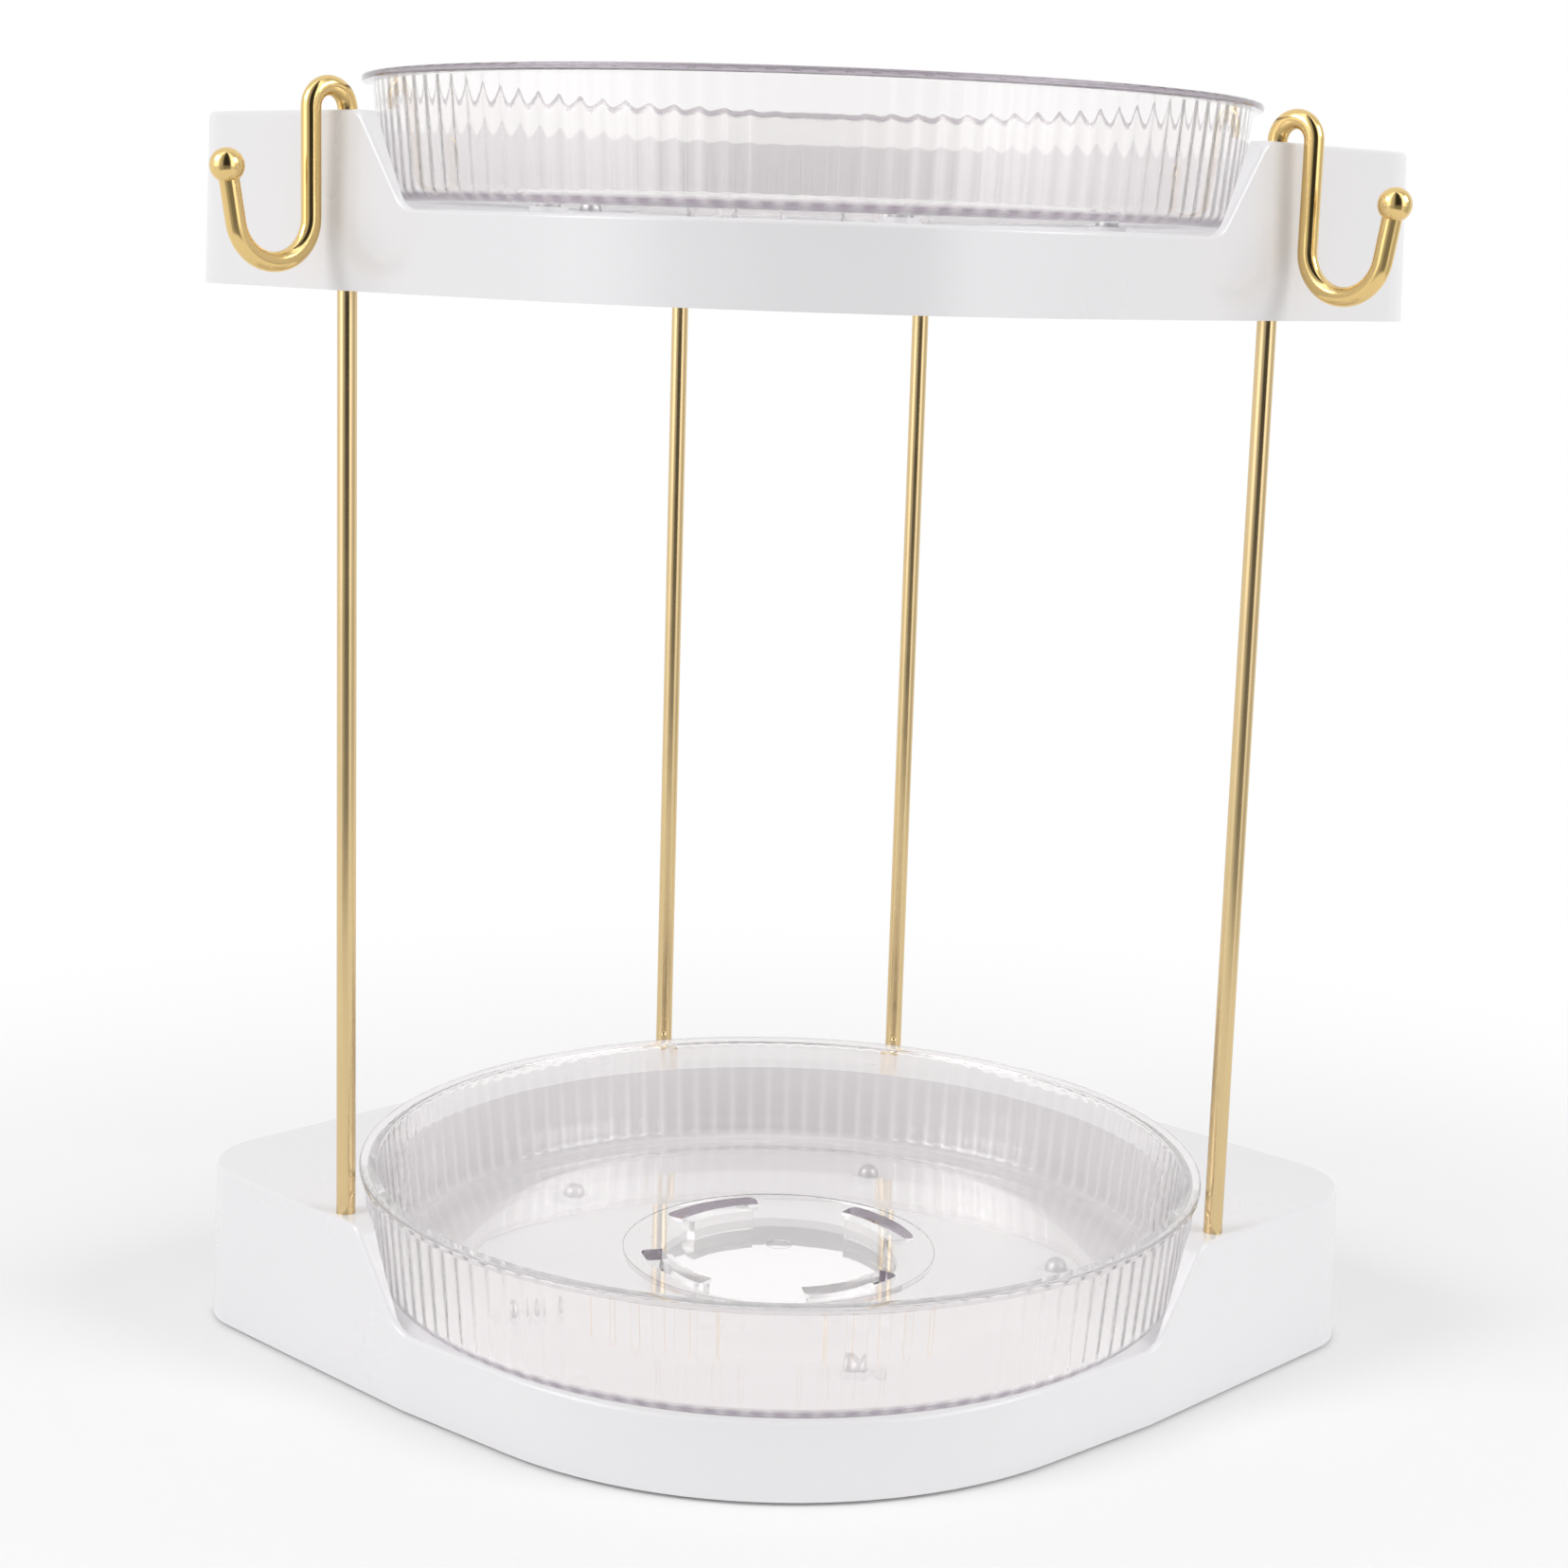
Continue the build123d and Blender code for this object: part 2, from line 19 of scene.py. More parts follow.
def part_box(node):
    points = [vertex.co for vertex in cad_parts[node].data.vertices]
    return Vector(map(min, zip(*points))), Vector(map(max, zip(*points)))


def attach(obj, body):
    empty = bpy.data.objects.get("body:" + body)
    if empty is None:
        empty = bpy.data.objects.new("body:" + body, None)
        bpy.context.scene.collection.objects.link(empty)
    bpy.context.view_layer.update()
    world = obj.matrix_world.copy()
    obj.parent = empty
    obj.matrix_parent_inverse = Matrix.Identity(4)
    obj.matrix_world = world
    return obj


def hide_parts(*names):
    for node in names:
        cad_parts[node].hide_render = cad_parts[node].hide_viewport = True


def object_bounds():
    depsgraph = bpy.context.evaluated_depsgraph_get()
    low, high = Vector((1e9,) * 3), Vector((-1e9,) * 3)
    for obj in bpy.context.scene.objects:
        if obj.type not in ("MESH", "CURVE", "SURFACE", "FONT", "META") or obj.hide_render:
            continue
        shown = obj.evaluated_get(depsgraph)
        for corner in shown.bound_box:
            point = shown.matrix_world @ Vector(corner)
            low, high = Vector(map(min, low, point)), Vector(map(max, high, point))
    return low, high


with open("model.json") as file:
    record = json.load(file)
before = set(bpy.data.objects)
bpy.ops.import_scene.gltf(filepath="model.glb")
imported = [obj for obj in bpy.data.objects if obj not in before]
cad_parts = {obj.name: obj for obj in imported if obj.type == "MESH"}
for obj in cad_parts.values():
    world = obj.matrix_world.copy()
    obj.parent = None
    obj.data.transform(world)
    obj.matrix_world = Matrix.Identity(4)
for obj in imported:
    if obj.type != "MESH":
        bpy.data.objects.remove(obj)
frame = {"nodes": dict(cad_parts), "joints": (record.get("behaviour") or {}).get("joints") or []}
CAD_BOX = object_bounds()
MM = 0.001

logging.basicConfig(level=logging.INFO, format="%(name)s: %(message)s")
LOG = logging.getLogger("organizer")

Colour = tuple[float, float, float]
Place = tuple[float, float, float]

# The part of a noise's range that clouds use, and the size and weight of a skin's fine bumps.
NOISE_REACH = (0.15, 0.85)
FINE_FACTOR = 6.0
FINE_SHARE = 0.3


class Tier(Enum):
    """The two levels of the stand."""

    LOWER = "lower"
    UPPER = "upper"


class Side(Enum):
    """The two front corners that carry a hook."""

    LEFT = "left"
    RIGHT = "right"


class FloorRing(IntEnum):
    """Rings of points on a tray's floor, from the wall to the middle."""

    SHELL = 0
    SLOT = 1
    LEG_OUT = 2
    LEG_IN = 3
    GATE = 4


class NodeSheet:
    """Short calls to fill a node tree."""

    def __init__(self, tree: bpy.types.NodeTree) -> None:
        """Take a tree and empty it.

        Args:
            tree: The node tree of a material, a world or a group.
        """
        self.tree = tree
        self.tree.nodes.clear()

    def add(self, kind: str, inputs: Optional[dict] = None, **settings: object) -> bpy.types.Node:
        """Add one node.

        Args:
            kind: Blender's name of the node type.
            inputs: Values or sockets by the name or number of an input.
            **settings: Properties of the node itself.

        Returns:
            The new node.
        """
        node = self.tree.nodes.new(kind)
        for name, value in settings.items():
            setattr(node, name, value)
        for name, value in (inputs or {}).items():
            if isinstance(value, bpy.types.NodeSocket):
                self.tree.links.new(value, node.inputs[name])
            else:
                node.inputs[name].default_value = value
        return node

    def math(self, operation: str, first: object, second: object = 0.0) -> bpy.types.NodeSocket:
        """One arithmetic step.

        Args:
            operation: Blender's name of the step, such as MULTIPLY.
            first: A value or a socket.
            second: A value or a socket.

        Returns:
            The socket with the result.
        """
        return self.add("ShaderNodeMath", {0: first, 1: second}, operation=operation).outputs[0]

    def spread(self, value: object, low: object, high: object, smooth: bool = False,
               reach: tuple[float, float] = (0.0, 1.0)) -> bpy.types.NodeSocket:
        """Map a value from one range to another, clamped.

        Args:
            value: The socket to map.
            low: Result at the start of the range.
            high: Result at its end.
            smooth: Ease in and out.
            reach: The range that is read.

        Returns:
            The socket with the result.
        """
        kind = "SMOOTHSTEP" if smooth else "LINEAR"
        inputs = {
            "Value": value, "From Min": reach[0], "From Max": reach[1], "To Min": low, "To Max": high}
        return self.add("ShaderNodeMapRange", inputs, interpolation_type=kind).outputs[0]


def node_group(name: str, inputs: dict[str, str],
               outputs: dict[str, str]) -> tuple[NodeSheet, dict, dict]:
    """Make a shader node group with named sockets.

    Args:
        name: Name of the group.
        inputs: Socket type by input name.
        outputs: Socket type by output name.

    Returns:
        The sheet, the group's input sockets by name, and the sockets to link its results to.
    """
    tree = bpy.data.node_groups.new(name, "ShaderNodeTree")
    for label, kind in inputs.items():
        tree.interface.new_socket(label, in_out="INPUT", socket_type=kind)
    for label, kind in outputs.items():
        tree.interface.new_socket(label, in_out="OUTPUT", socket_type=kind)
    sheet = NodeSheet(tree)
    source = sheet.add("NodeGroupInput")
    target = sheet.add("NodeGroupOutput")
    return sheet, {n: source.outputs[n] for n in inputs}, {n: target.inputs[n] for n in outputs}


def mottle_group() -> bpy.types.NodeTree:
    """A faint cloudy change of a colour, as in moulded or plated surfaces.

    Returns:
        The group: a noise on object coordinates lightens and darkens the colour by a share.
    """
    sheet, given, made = node_group(
        "Soft Mottle",
        {"Colour": "NodeSocketColor", "Scale": "NodeSocketFloat", "Share": "NodeSocketFloat"},
        {"Colour": "NodeSocketColor", "Cloud": "NodeSocketFloat"})
    place = sheet.add("ShaderNodeTexCoord").outputs["Object"]
    noise = sheet.add("ShaderNodeTexNoise", {
        "Vector": place, "Scale": given["Scale"], "Detail": 4.0}).outputs[0]
    cloud = sheet.spread(noise, -1.0, 1.0, reach=NOISE_REACH)
    factor = sheet.math("ADD", 1.0, sheet.math("MULTIPLY", cloud, given["Share"]))
    tint = sheet.add("ShaderNodeVectorMath", {0: given["Colour"], "Scale": factor}, operation="SCALE")
    sheet.tree.links.new(tint.outputs[0], made["Colour"])
    sheet.tree.links.new(sheet.spread(noise, 0.0, 1.0, reach=NOISE_REACH), made["Cloud"])
    return sheet.tree


def relief_group() -> bpy.types.NodeTree:
    """The tiny unevenness of a moulded or polished skin.

    Returns:
        The group: two noises, stretched along one axis by a factor, added as a height from 0 to 1.
    """
    sheet, given, made = node_group(
        "Skin Relief",
        {"Scale": "NodeSocketFloat", "Stretch": "NodeSocketFloat"},
        {"Height": "NodeSocketFloat"})
    place = sheet.add("ShaderNodeTexCoord").outputs["Object"]
    squeeze = sheet.add("ShaderNodeCombineXYZ", {0: 1.0, 1: 1.0, 2: given["Stretch"]}).outputs[0]
    along = sheet.add("ShaderNodeVectorMath", {0: place, 1: squeeze}, operation="MULTIPLY").outputs[0]
    fine_scale = sheet.math("MULTIPLY", given["Scale"], FINE_FACTOR)
    coarse = sheet.add("ShaderNodeTexNoise", {
        "Vector": along, "Scale": given["Scale"], "Detail": 2.0})
    fine = sheet.add("ShaderNodeTexNoise", {"Vector": along, "Scale": fine_scale, "Detail": 1.0})
    height = sheet.math("ADD", sheet.math("MULTIPLY", coarse.outputs[0], 1.0 - FINE_SHARE),
                        sheet.math("MULTIPLY", fine.outputs[0], FINE_SHARE))
    sheet.tree.links.new(height, made["Height"])
    return sheet.tree


@dataclass(frozen=True)
class Finish:
    """What every finish shares: a colour, its cloudiness and the relief of its skin.

    Attributes:
        name: Name of the material.
        colour: Main colour.
        cloud_scale: Clouds per metre.
        cloud_share: How far clouds change the colour.
        rough_low: Roughness in the smoothest spots.
        rough_high: Roughness in the dullest spots.
        skin_scale: Bumps of the skin per metre.
        skin_stretch: Below 1 the bumps run along Z, as drawn metal's do.
        skin_depth: Height of the bumps.
    """

    name: str
    colour: Colour
    cloud_scale: float = 30.0
    cloud_share: float = 0.01
    rough_low: float = 0.3
    rough_high: float = 0.4
    skin_scale: float = 400.0
    skin_stretch: float = 1.0
    skin_depth: float = 0.01 * MM

    def sheet(self) -> tuple[NodeSheet, bpy.types.Node]:
        """Start the material.

        Returns:
            The sheet and its Principled node, with colour, roughness and relief joined to it.
        """
        material = bpy.data.materials.new(self.name)
        material.use_nodes = True
        sheet = NodeSheet(material.node_tree)
        mottle = sheet.add("ShaderNodeGroup", node_tree=GROUPS["mottle"])
        mottle.inputs["Colour"].default_value = (*self.colour, 1.0)
        mottle.inputs["Scale"].default_value = self.cloud_scale
        mottle.inputs["Share"].default_value = self.cloud_share
        relief = sheet.add("ShaderNodeGroup", node_tree=GROUPS["relief"])
        relief.inputs["Scale"].default_value = self.skin_scale
        relief.inputs["Stretch"].default_value = self.skin_stretch
        bump = sheet.add("ShaderNodeBump", {
            "Height": relief.outputs["Height"], "Distance": self.skin_depth})
        rough = sheet.spread(mottle.outputs["Cloud"], self.rough_low, self.rough_high)
        shader = sheet.add("ShaderNodeBsdfPrincipled", {
            "Base Color": mottle.outputs["Colour"], "Roughness": rough, "Normal": bump.outputs[0]})
        sheet.add("ShaderNodeOutputMaterial", {"Surface": shader.outputs[0]})
        return sheet, shader

    def material(self) -> bpy.types.Material:
        """Build the material.

        Returns:
            The finished material.
        """
        self.sheet()
        return bpy.data.materials[self.name]


@dataclass(frozen=True)
class MouldedPlastic(Finish):
    """White plastic from a polished mould.

    Attributes:
        coat: Weight of the glossy skin over the colour.
        coat_rough: Roughness of that skin.
    """

    coat: float = 0.35
    coat_rough: float = 0.12

    def material(self) -> bpy.types.Material:
        """Build the material with its glossy skin.

        Returns:
            The finished material.
        """
        _, shader = self.sheet()
        shader.inputs["Coat Weight"].default_value = self.coat
        shader.inputs["Coat Roughness"].default_value = self.coat_rough
        return bpy.data.materials[self.name]


@dataclass(frozen=True)
class PlatedMetal(Finish):
    """Bare, plated or gilt metal."""

    def material(self) -> bpy.types.Material:
        """Build the material as a metal.

        Returns:
            The finished material.
        """
        _, shader = self.sheet()
        shader.inputs["Metallic"].default_value = 1.0
        return bpy.data.materials[self.name]


@dataclass(frozen=True)
class ClearPlastic(Finish):
    """Clear plastic with painted shade on its cut edges, and on its ribs and foot too when seen from
    outside.

    Attributes:
        shade_colour: Colour of the painted shade on edges, ribs and foot.
        index: Refractive index.
        clarity: Share of light that goes through, the rest being the haze of the plastic.
        veil: Share of the light towards other surfaces that the piece still stops.
    """

    shade_colour: Colour = (0.2, 0.16, 0.21)
    index: float = 1.5
    clarity: float = 0.92
    veil: float = 0.03

    def material(self) -> bpy.types.Material:
        """Build the material: clear, darkened by painted shade that two attributes of the mesh give.

        Returns:
            The finished material.
        """
        sheet, shader = self.sheet()
        # Painted shade: two mesh attributes mix the clear colour towards a dark mauve, the second one
        # only on outer sides.
        edge = sheet.add("ShaderNodeAttribute", attribute_name="edge").outputs["Fac"]
        painted_shade = sheet.add("ShaderNodeAttribute", attribute_name="painted_shade").outputs["Fac"]
        geometry = sheet.add("ShaderNodeNewGeometry")
        outer = sheet.math("SUBTRACT", 1.0, geometry.outputs["Backfacing"])
        share = sheet.math("MAXIMUM", edge, sheet.math("MULTIPLY", painted_shade, outer))
        clear = shader.inputs["Base Color"].links[0].from_socket
        mix = sheet.add("ShaderNodeMix", {"Factor": share}, data_type="RGBA")
        sheet.tree.links.new(clear, mix.inputs["A"])
        mix.inputs["B"].default_value = (*self.shade_colour, 1.0)
        sheet.tree.links.new(mix.outputs["Result"], shader.inputs["Base Color"])
        path = sheet.add("ShaderNodeLightPath")
        lit = sheet.math("MAXIMUM", path.outputs["Is Shadow Ray"], path.outputs["Is Diffuse Ray"])
        sheet.tree.links.new(sheet.spread(lit, 1.0, self.veil), shader.inputs["Alpha"])
        shader.inputs["Transmission Weight"].default_value = self.clarity
        shader.inputs["IOR"].default_value = self.index
        return bpy.data.materials[self.name]


# Node groups that all finishes share, filled by main, and the finishes.
GROUPS: dict[str, bpy.types.NodeTree] = {}
WHITE = MouldedPlastic("white_moulding", (0.85, 0.84, 0.855), cloud_share=0.003, rough_low=0.26,
                       rough_high=0.31, skin_scale=700.0, skin_depth=0.003 * MM)
CLEAR = ClearPlastic("clear_moulding", (0.985, 0.967, 0.967), cloud_share=0.004, rough_low=0.015,
                     rough_high=0.035, skin_scale=60.0, skin_depth=0.01 * MM)
GILT = PlatedMetal("gilt", (0.78, 0.565, 0.24), cloud_scale=120.0, cloud_share=0.03, rough_low=0.12,
                   rough_high=0.18, skin_scale=2500.0, skin_stretch=0.02, skin_depth=0.002 * MM)
TUBE = PlatedMetal("gilt_tube", (0.71, 0.54, 0.29), cloud_scale=90.0, cloud_share=0.04,
                   rough_low=0.14, rough_high=0.22, skin_scale=2500.0, skin_stretch=0.02,
                   skin_depth=0.002 * MM)
BALL = PlatedMetal("dull_steel", (0.56, 0.55, 0.56), cloud_share=0.02, rough_low=0.45,
                   rough_high=0.55, skin_depth=0.001 * MM)
SCREW = PlatedMetal("screw_zinc", (0.56, 0.56, 0.57), cloud_share=0.05, rough_low=0.25,
                    rough_high=0.4)
SLEEVE = PlatedMetal("sleeve_brass", (0.7, 0.5, 0.22), cloud_share=0.04, rough_low=0.25,
                     rough_high=0.35)
PAD = Finish("pad_rubber", (0.32, 0.32, 0.33), cloud_share=0.06, rough_low=0.7, rough_high=0.85,
             skin_scale=900.0, skin_depth=0.05 * MM)

# Painted shade on each tray's rim, stronger on the upper one, and the height of the painted shade along
# its foot.
RIM_SHADE_STRENGTHS = {Tier.LOWER: 0.25, Tier.UPPER: 0.9}
FOOT_SHADE_BANDS = {Tier.LOWER: 2.9 * MM, Tier.UPPER: 1.9 * MM}


def finished(finish: Finish) -> bpy.types.Material:
    """Return a finish's material, built on first use.

    Args:
        finish: The finish.

    Returns:
        Its material.
    """
    return bpy.data.materials.get(finish.name) or finish.material()


def dress(node: str, finish: Finish) -> None:
    """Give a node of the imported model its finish.

    Args:
        node: Name of the node.
        finish: The finish.
    """
    piece = frame["nodes"][node]
    if not piece.material_slots:
        piece.data.materials.append(None)
    for slot in piece.material_slots:
        slot.material = finished(finish)
    LOG.info("%s: %s", node, finish.name)


def mesh_piece(name: str, points: np.ndarray, faces: list[np.ndarray],
               sharp_deg: float = 60.0) -> bpy.types.Object:
    """Make a smooth-shaded mesh object at the origin.

    Args:
        name: Name of the piece.
        points: Vertices, one row each, in metres.
        faces: Arrays of vertex numbers, one row per face, a row length per array.
        sharp_deg: Edges between faces that meet at more than this stay sharp.

    Returns:
        The new object, linked to the scene.
    """
    mesh = bpy.data.meshes.new(name)
    mesh.from_pydata(points.tolist(), [], [row for block in faces for row in block.tolist()])
    mesh.shade_smooth()
    mesh.set_sharp_from_angle(angle=math.radians(sharp_deg))
    mesh.update()
    piece = bpy.data.objects.new(name, mesh)
    bpy.context.scene.collection.objects.link(piece)
    return piece


def quads(grid: np.ndarray) -> np.ndarray:
    """Faces of a grid of vertex numbers.

    Args:
        grid: Vertex numbers, rows by columns.

    Returns:
        One row of four numbers for each cell: down the column, across, up and back.
    """
    cells = (grid[:-1, :-1], grid[1:, :-1], grid[1:, 1:], grid[:-1, 1:])
    return np.stack(cells, axis=-1).reshape(-1, 4)


def closed(grid: np.ndarray) -> np.ndarray:
    """The same grid with its first column repeated at the end, so that it closes round an axis."""
    return np.concatenate([grid, grid[:, :1]], axis=1)


def rounded(corners: np.ndarray, radii: np.ndarray, steps: int) -> np.ndarray:
    """A polyline with its inner corners replaced by tangent arcs.

    Each arc leaves its corner's two sides at radius / tan(half the angle between them). Its points
    are the centre plus the radius times unit vectors swung evenly from one tangent to the other.

    Args:
        corners: Points of the polyline, one row each.
        radii: Radius at each inner corner.
        steps: Steps along each arc.

    Returns:
        The points of the rounded polyline.
    """
    parts = [corners[:1]]
    share = np.linspace(0.0, 1.0, steps + 1)[:, None]
    for before, corner, after, radius in zip(corners[:-2], corners[1:-1], corners[2:], radii):
        back = (before - corner) / np.linalg.norm(before - corner)
        ahead = (after - corner) / np.linalg.norm(after - corner)
        half = math.acos(np.clip(back @ ahead, -1.0, 1.0)) / 2
        middle = (back + ahead) / np.linalg.norm(back + ahead)
        centre = corner + middle * radius / math.sin(half)
        first = corner + back * radius / math.tan(half) - centre
        last = corner + ahead * radius / math.tan(half) - centre
        swing = math.pi - 2 * half
        arc = (np.sin((1 - share) * swing) * first + np.sin(share * swing) * last) / math.sin(swing)
        parts.append(centre + arc)
    parts.append(corners[-1:])
    return np.concatenate(parts)


def steadied(profile: np.ndarray, lead: float, long: float) -> np.ndarray:
    """A profile with a point just inside both ends of its long sides, which keeps them flat.

    Args:
        profile: Points of the profile, one row each.
        lead: Distance of the new points from the ends.
        long: Sides above this length get them.

    Returns:
        The points of the profile with the new ones.
    """
    parts = [profile[:1]]
    for first, last in zip(profile[:-1], profile[1:]):
        length = np.linalg.norm(last - first)
        if length > long:
            step = (last - first) * lead / length
            parts.append(np.stack([first + step, last - step]))
        parts.append(last[None])
    return np.concatenate(parts)


def fan(ring: np.ndarray, middle: int) -> np.ndarray:
    """Triangles that close a ring: each point, the next one and the middle.

    Args:
        ring: Vertex numbers round the ring.
        middle: Vertex number of the middle.

    Returns:
        One row of three numbers per point of the ring.
    """
    return np.stack([ring, np.roll(ring, -1), np.full(len(ring), middle)], axis=-1)


@dataclass
class Draft:
    """Points and faces of a mesh in the making.

    Attributes:
        points: Blocks of points.
        plain: Blocks of faces without the slots' painted shade, as vertex numbers.
        shaded_faces: Blocks of faces with the slots' painted shade.
        count: Number of points so far.
    """

    points: list[np.ndarray] = field(default_factory=list)
    plain: list[np.ndarray] = field(default_factory=list)
    shaded_faces: list[np.ndarray] = field(default_factory=list)
    count: int = 0

    def put(self, points: np.ndarray) -> np.ndarray:
        """Add points.

        Args:
            points: Points in a row or a grid, three numbers each.

        Returns:
            Their vertex numbers, laid out as the points are.
        """
        numbers = self.count + np.arange(points[..., 0].size).reshape(points.shape[:-1])
        self.points.append(points.reshape(-1, 3))
        self.count += numbers.size
        return numbers


@dataclass
class Tray:
    """A clear turning tray: ribbed wall, rim, foot, slotted floor and snap legs.

    Attributes:
        tier: Level of the stand.
        rim_shade_strength: Strength of the painted shade on the rim's edge.
        foot_shade_band: Height of the painted shade along the foot's edge.
        columns: Steps around the axis.
        rim_reach: Rim past the top of the wall.
        rim_thick: Thickness of the rim.
        rim_round: Radius of the rim's edges.
        under_round: Radius between the wall and the rim's underside.
        flare: How far the wall leans out, foot to top.
        wall: Thickness of the wall.
        floor_thick: Thickness of the floor.
        floor_drop: Top of the rim down to the raised middle of the floor.
        foot_drop: Top of the rim down to the foot, the low outer ring of the floor.
        foot_in: Inner radius of that ring.
        foot_slope: Width of the gentle slope from the ring up to the middle.
        slope_round: Radius at both ends of that slope.
        foot_round: Radius of the foot's outer edge.
        corner: Radius between wall and floor, inside.
        corner_steps: Steps round that corner.
        arc_steps: Steps round each other rounding.
        lead: Distance from the ends of long sides at which they are held flat.
        long_side: Sides of a profile above this length are held so.
        ribs: Number of upright ribs on the inside.
        rib_height: How far a rib stands in.
        rib_flat: Above 1 the crests of the ribs are flatter than the grooves between them.
        rib_fade: Length over which a rib fades out at its top.
        fade_rows: Rows of points along that fade.
        rib_end: Power of the cosine by which a rib fades out round the corner.
        plain_band: Smooth wall between the rim's top and the ribs.
        join: Radius of the thick hub in the middle of the floor.
        hub_thick: Thickness of that hub.
        hub_round: Radius between the hub and the floor's underside.
        leg_out: Outer radius of the snap legs.
        leg_thick: Thickness of a leg.
        leg_reach: How far a barb stands out.
        leg_span_deg: Angle that a leg spans.
        leg_first_deg: Angle of the first leg's middle.
        legs: Number of legs.
        barb_rise: Top of a barb above the leg's end.
        barb_lip: Height of a barb's upright lip.
        slot_out: Outer radius of the slots above the barbs.
        slot_span_deg: Angle that a slot spans.
        slot_round: Radius of a slot's outer corners.
        gate: Radius of the dimple in the middle.
        gate_depth: Its depth.
        slot_shade_strength: Strength of the painted shade on the walls of the slots.
        rib_shade_strength: Strength of the painted shade on the feet of ribs, beside narrow unshaded
            lines between them.
        bar_power: Above 1 those lines get narrower.
        foot_shade_strength: Strength of the painted shade on the foot's edge under ribs.
        foot_plain: Share of that painted shade between ribs.
        axis: Where the tray turns, from above.
        rim_r: Radius of the rim.
        top: Height of the rim's top.
        leg_end: Height of the legs' ends.
    """

    tier: Tier
    rim_shade_strength: float
    foot_shade_band: float
    columns: int = 960
    rim_reach: float = 2.7 * MM
    rim_thick: float = 1.7 * MM
    rim_round: float = 0.6 * MM
    under_round: float = 0.5 * MM
    flare: float = 2.7 * MM
    wall: float = 2.2 * MM
    floor_thick: float = 1.4 * MM
    floor_drop: float = 26.3 * MM
    foot_drop: float = 31.0 * MM
    foot_in: float = 101.0 * MM
    foot_slope: float = 17.0 * MM
    slope_round: float = 30.0 * MM
    foot_round: float = 4.4 * MM
    corner: float = 3.0 * MM
    corner_steps: int = 8
    arc_steps: int = 5
    lead: float = 0.4 * MM
    long_side: float = 8.0 * MM
    ribs: int = 120
    rib_height: float = 0.28 * MM
    rib_flat: float = 1.4
    rib_fade: float = 1.0 * MM
    fade_rows: int = 7
    rib_end: float = 1.5
    plain_band: float = 0.7 * MM
    join: float = 43.0 * MM
    hub_thick: float = 3.2 * MM
    hub_round: float = 0.3 * MM
    leg_out: float = 32.7 * MM
    leg_thick: float = 2.4 * MM
    leg_reach: float = 2.6 * MM
    leg_span_deg: float = 38.0
    leg_first_deg: float = 33.0
    legs: int = 4
    barb_rise: float = 4.9 * MM
    barb_lip: float = 1.2 * MM
    slot_out: float = 38.8 * MM
    slot_span_deg: float = 46.0
    slot_round: float = 2.2 * MM
    gate: float = 3.6 * MM
    gate_depth: float = 0.4 * MM
    slot_shade_strength: float = 0.9
    rib_shade_strength: float = 0.3
    bar_power: int = 3
    foot_shade_strength: float = 1.0
    foot_plain: float = 0.75
    axis: np.ndarray = field(init=False)
    rim_r: float = field(init=False)
    top: float = field(init=False)
    leg_end: float = field(init=False)

    def __post_init__(self) -> None:
        """Read the tray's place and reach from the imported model."""
        low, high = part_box(self.node)
        spin = next(j for j in frame["joints"] if j["name"] == f"{self.tier.value}_turntable_spin")
        self.axis = np.array(spin["pos_m"][:2])
        self.rim_r = (high.x - low.x) / 2
        self.top = high.z
        self.leg_end = low.z

    @property
    def node(self) -> str:
        """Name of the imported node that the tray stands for."""
        return f"{self.tier.value}_tray"

    @property
    def hub_under(self) -> float:
        """Height of the hub's underside."""
        return self.floor_top - self.hub_thick

    @property
    def floor_top(self) -> float:
        """Height of the raised middle of the floor."""
        return self.top - self.floor_drop

    @property
    def ring_top(self) -> float:
        """Height of the low outer ring of the floor."""
        return self.top - self.foot_drop + self.floor_thick

    @property
    def angles(self) -> np.ndarray:
        """Angle of each column."""
        return np.arange(self.columns) * 2 * math.pi / self.columns

    def inside(self, height: np.ndarray) -> np.ndarray:
        """Inner radius of the wall, without ribs: a straight line from the foot up.

        Args:
            height: Heights in metres.

        Returns:
            Radii in metres.
        """
        top_r = self.rim_r - self.rim_reach
        lean = self.flare / (self.foot_drop - self.rim_thick)
        return top_r - self.wall + lean * (height - self.top + self.rim_thick)

    def outer_profile(self) -> np.ndarray:
        """Radius and height from the underside, over the foot, wall and rim, to the inner wall.

        Returns:
            One row of radius and height per point.
        """
        top_r = self.rim_r - self.rim_reach
        foot_r = top_r - self.flare
        under = self.floor_top - self.floor_thick
        foot, rim_under = self.top - self.foot_drop, self.top - self.rim_thick
        band = self.top - self.plain_band
        corners = np.array([
            (self.join, self.hub_under), (self.join, under), (self.foot_in - self.foot_slope, under),
            (self.foot_in, foot), (foot_r, foot), (top_r, rim_under), (self.rim_r, rim_under),
            (self.rim_r, self.top), (self.inside(self.top), self.top), (self.inside(band), band)])
        edge, slope = self.rim_round, self.slope_round
        radii = np.array([
            self.hub_round, slope, slope, self.foot_round, self.under_round, edge, edge, edge])
        return steadied(rounded(corners, radii, self.arc_steps)[:-1], self.lead, self.long_side)

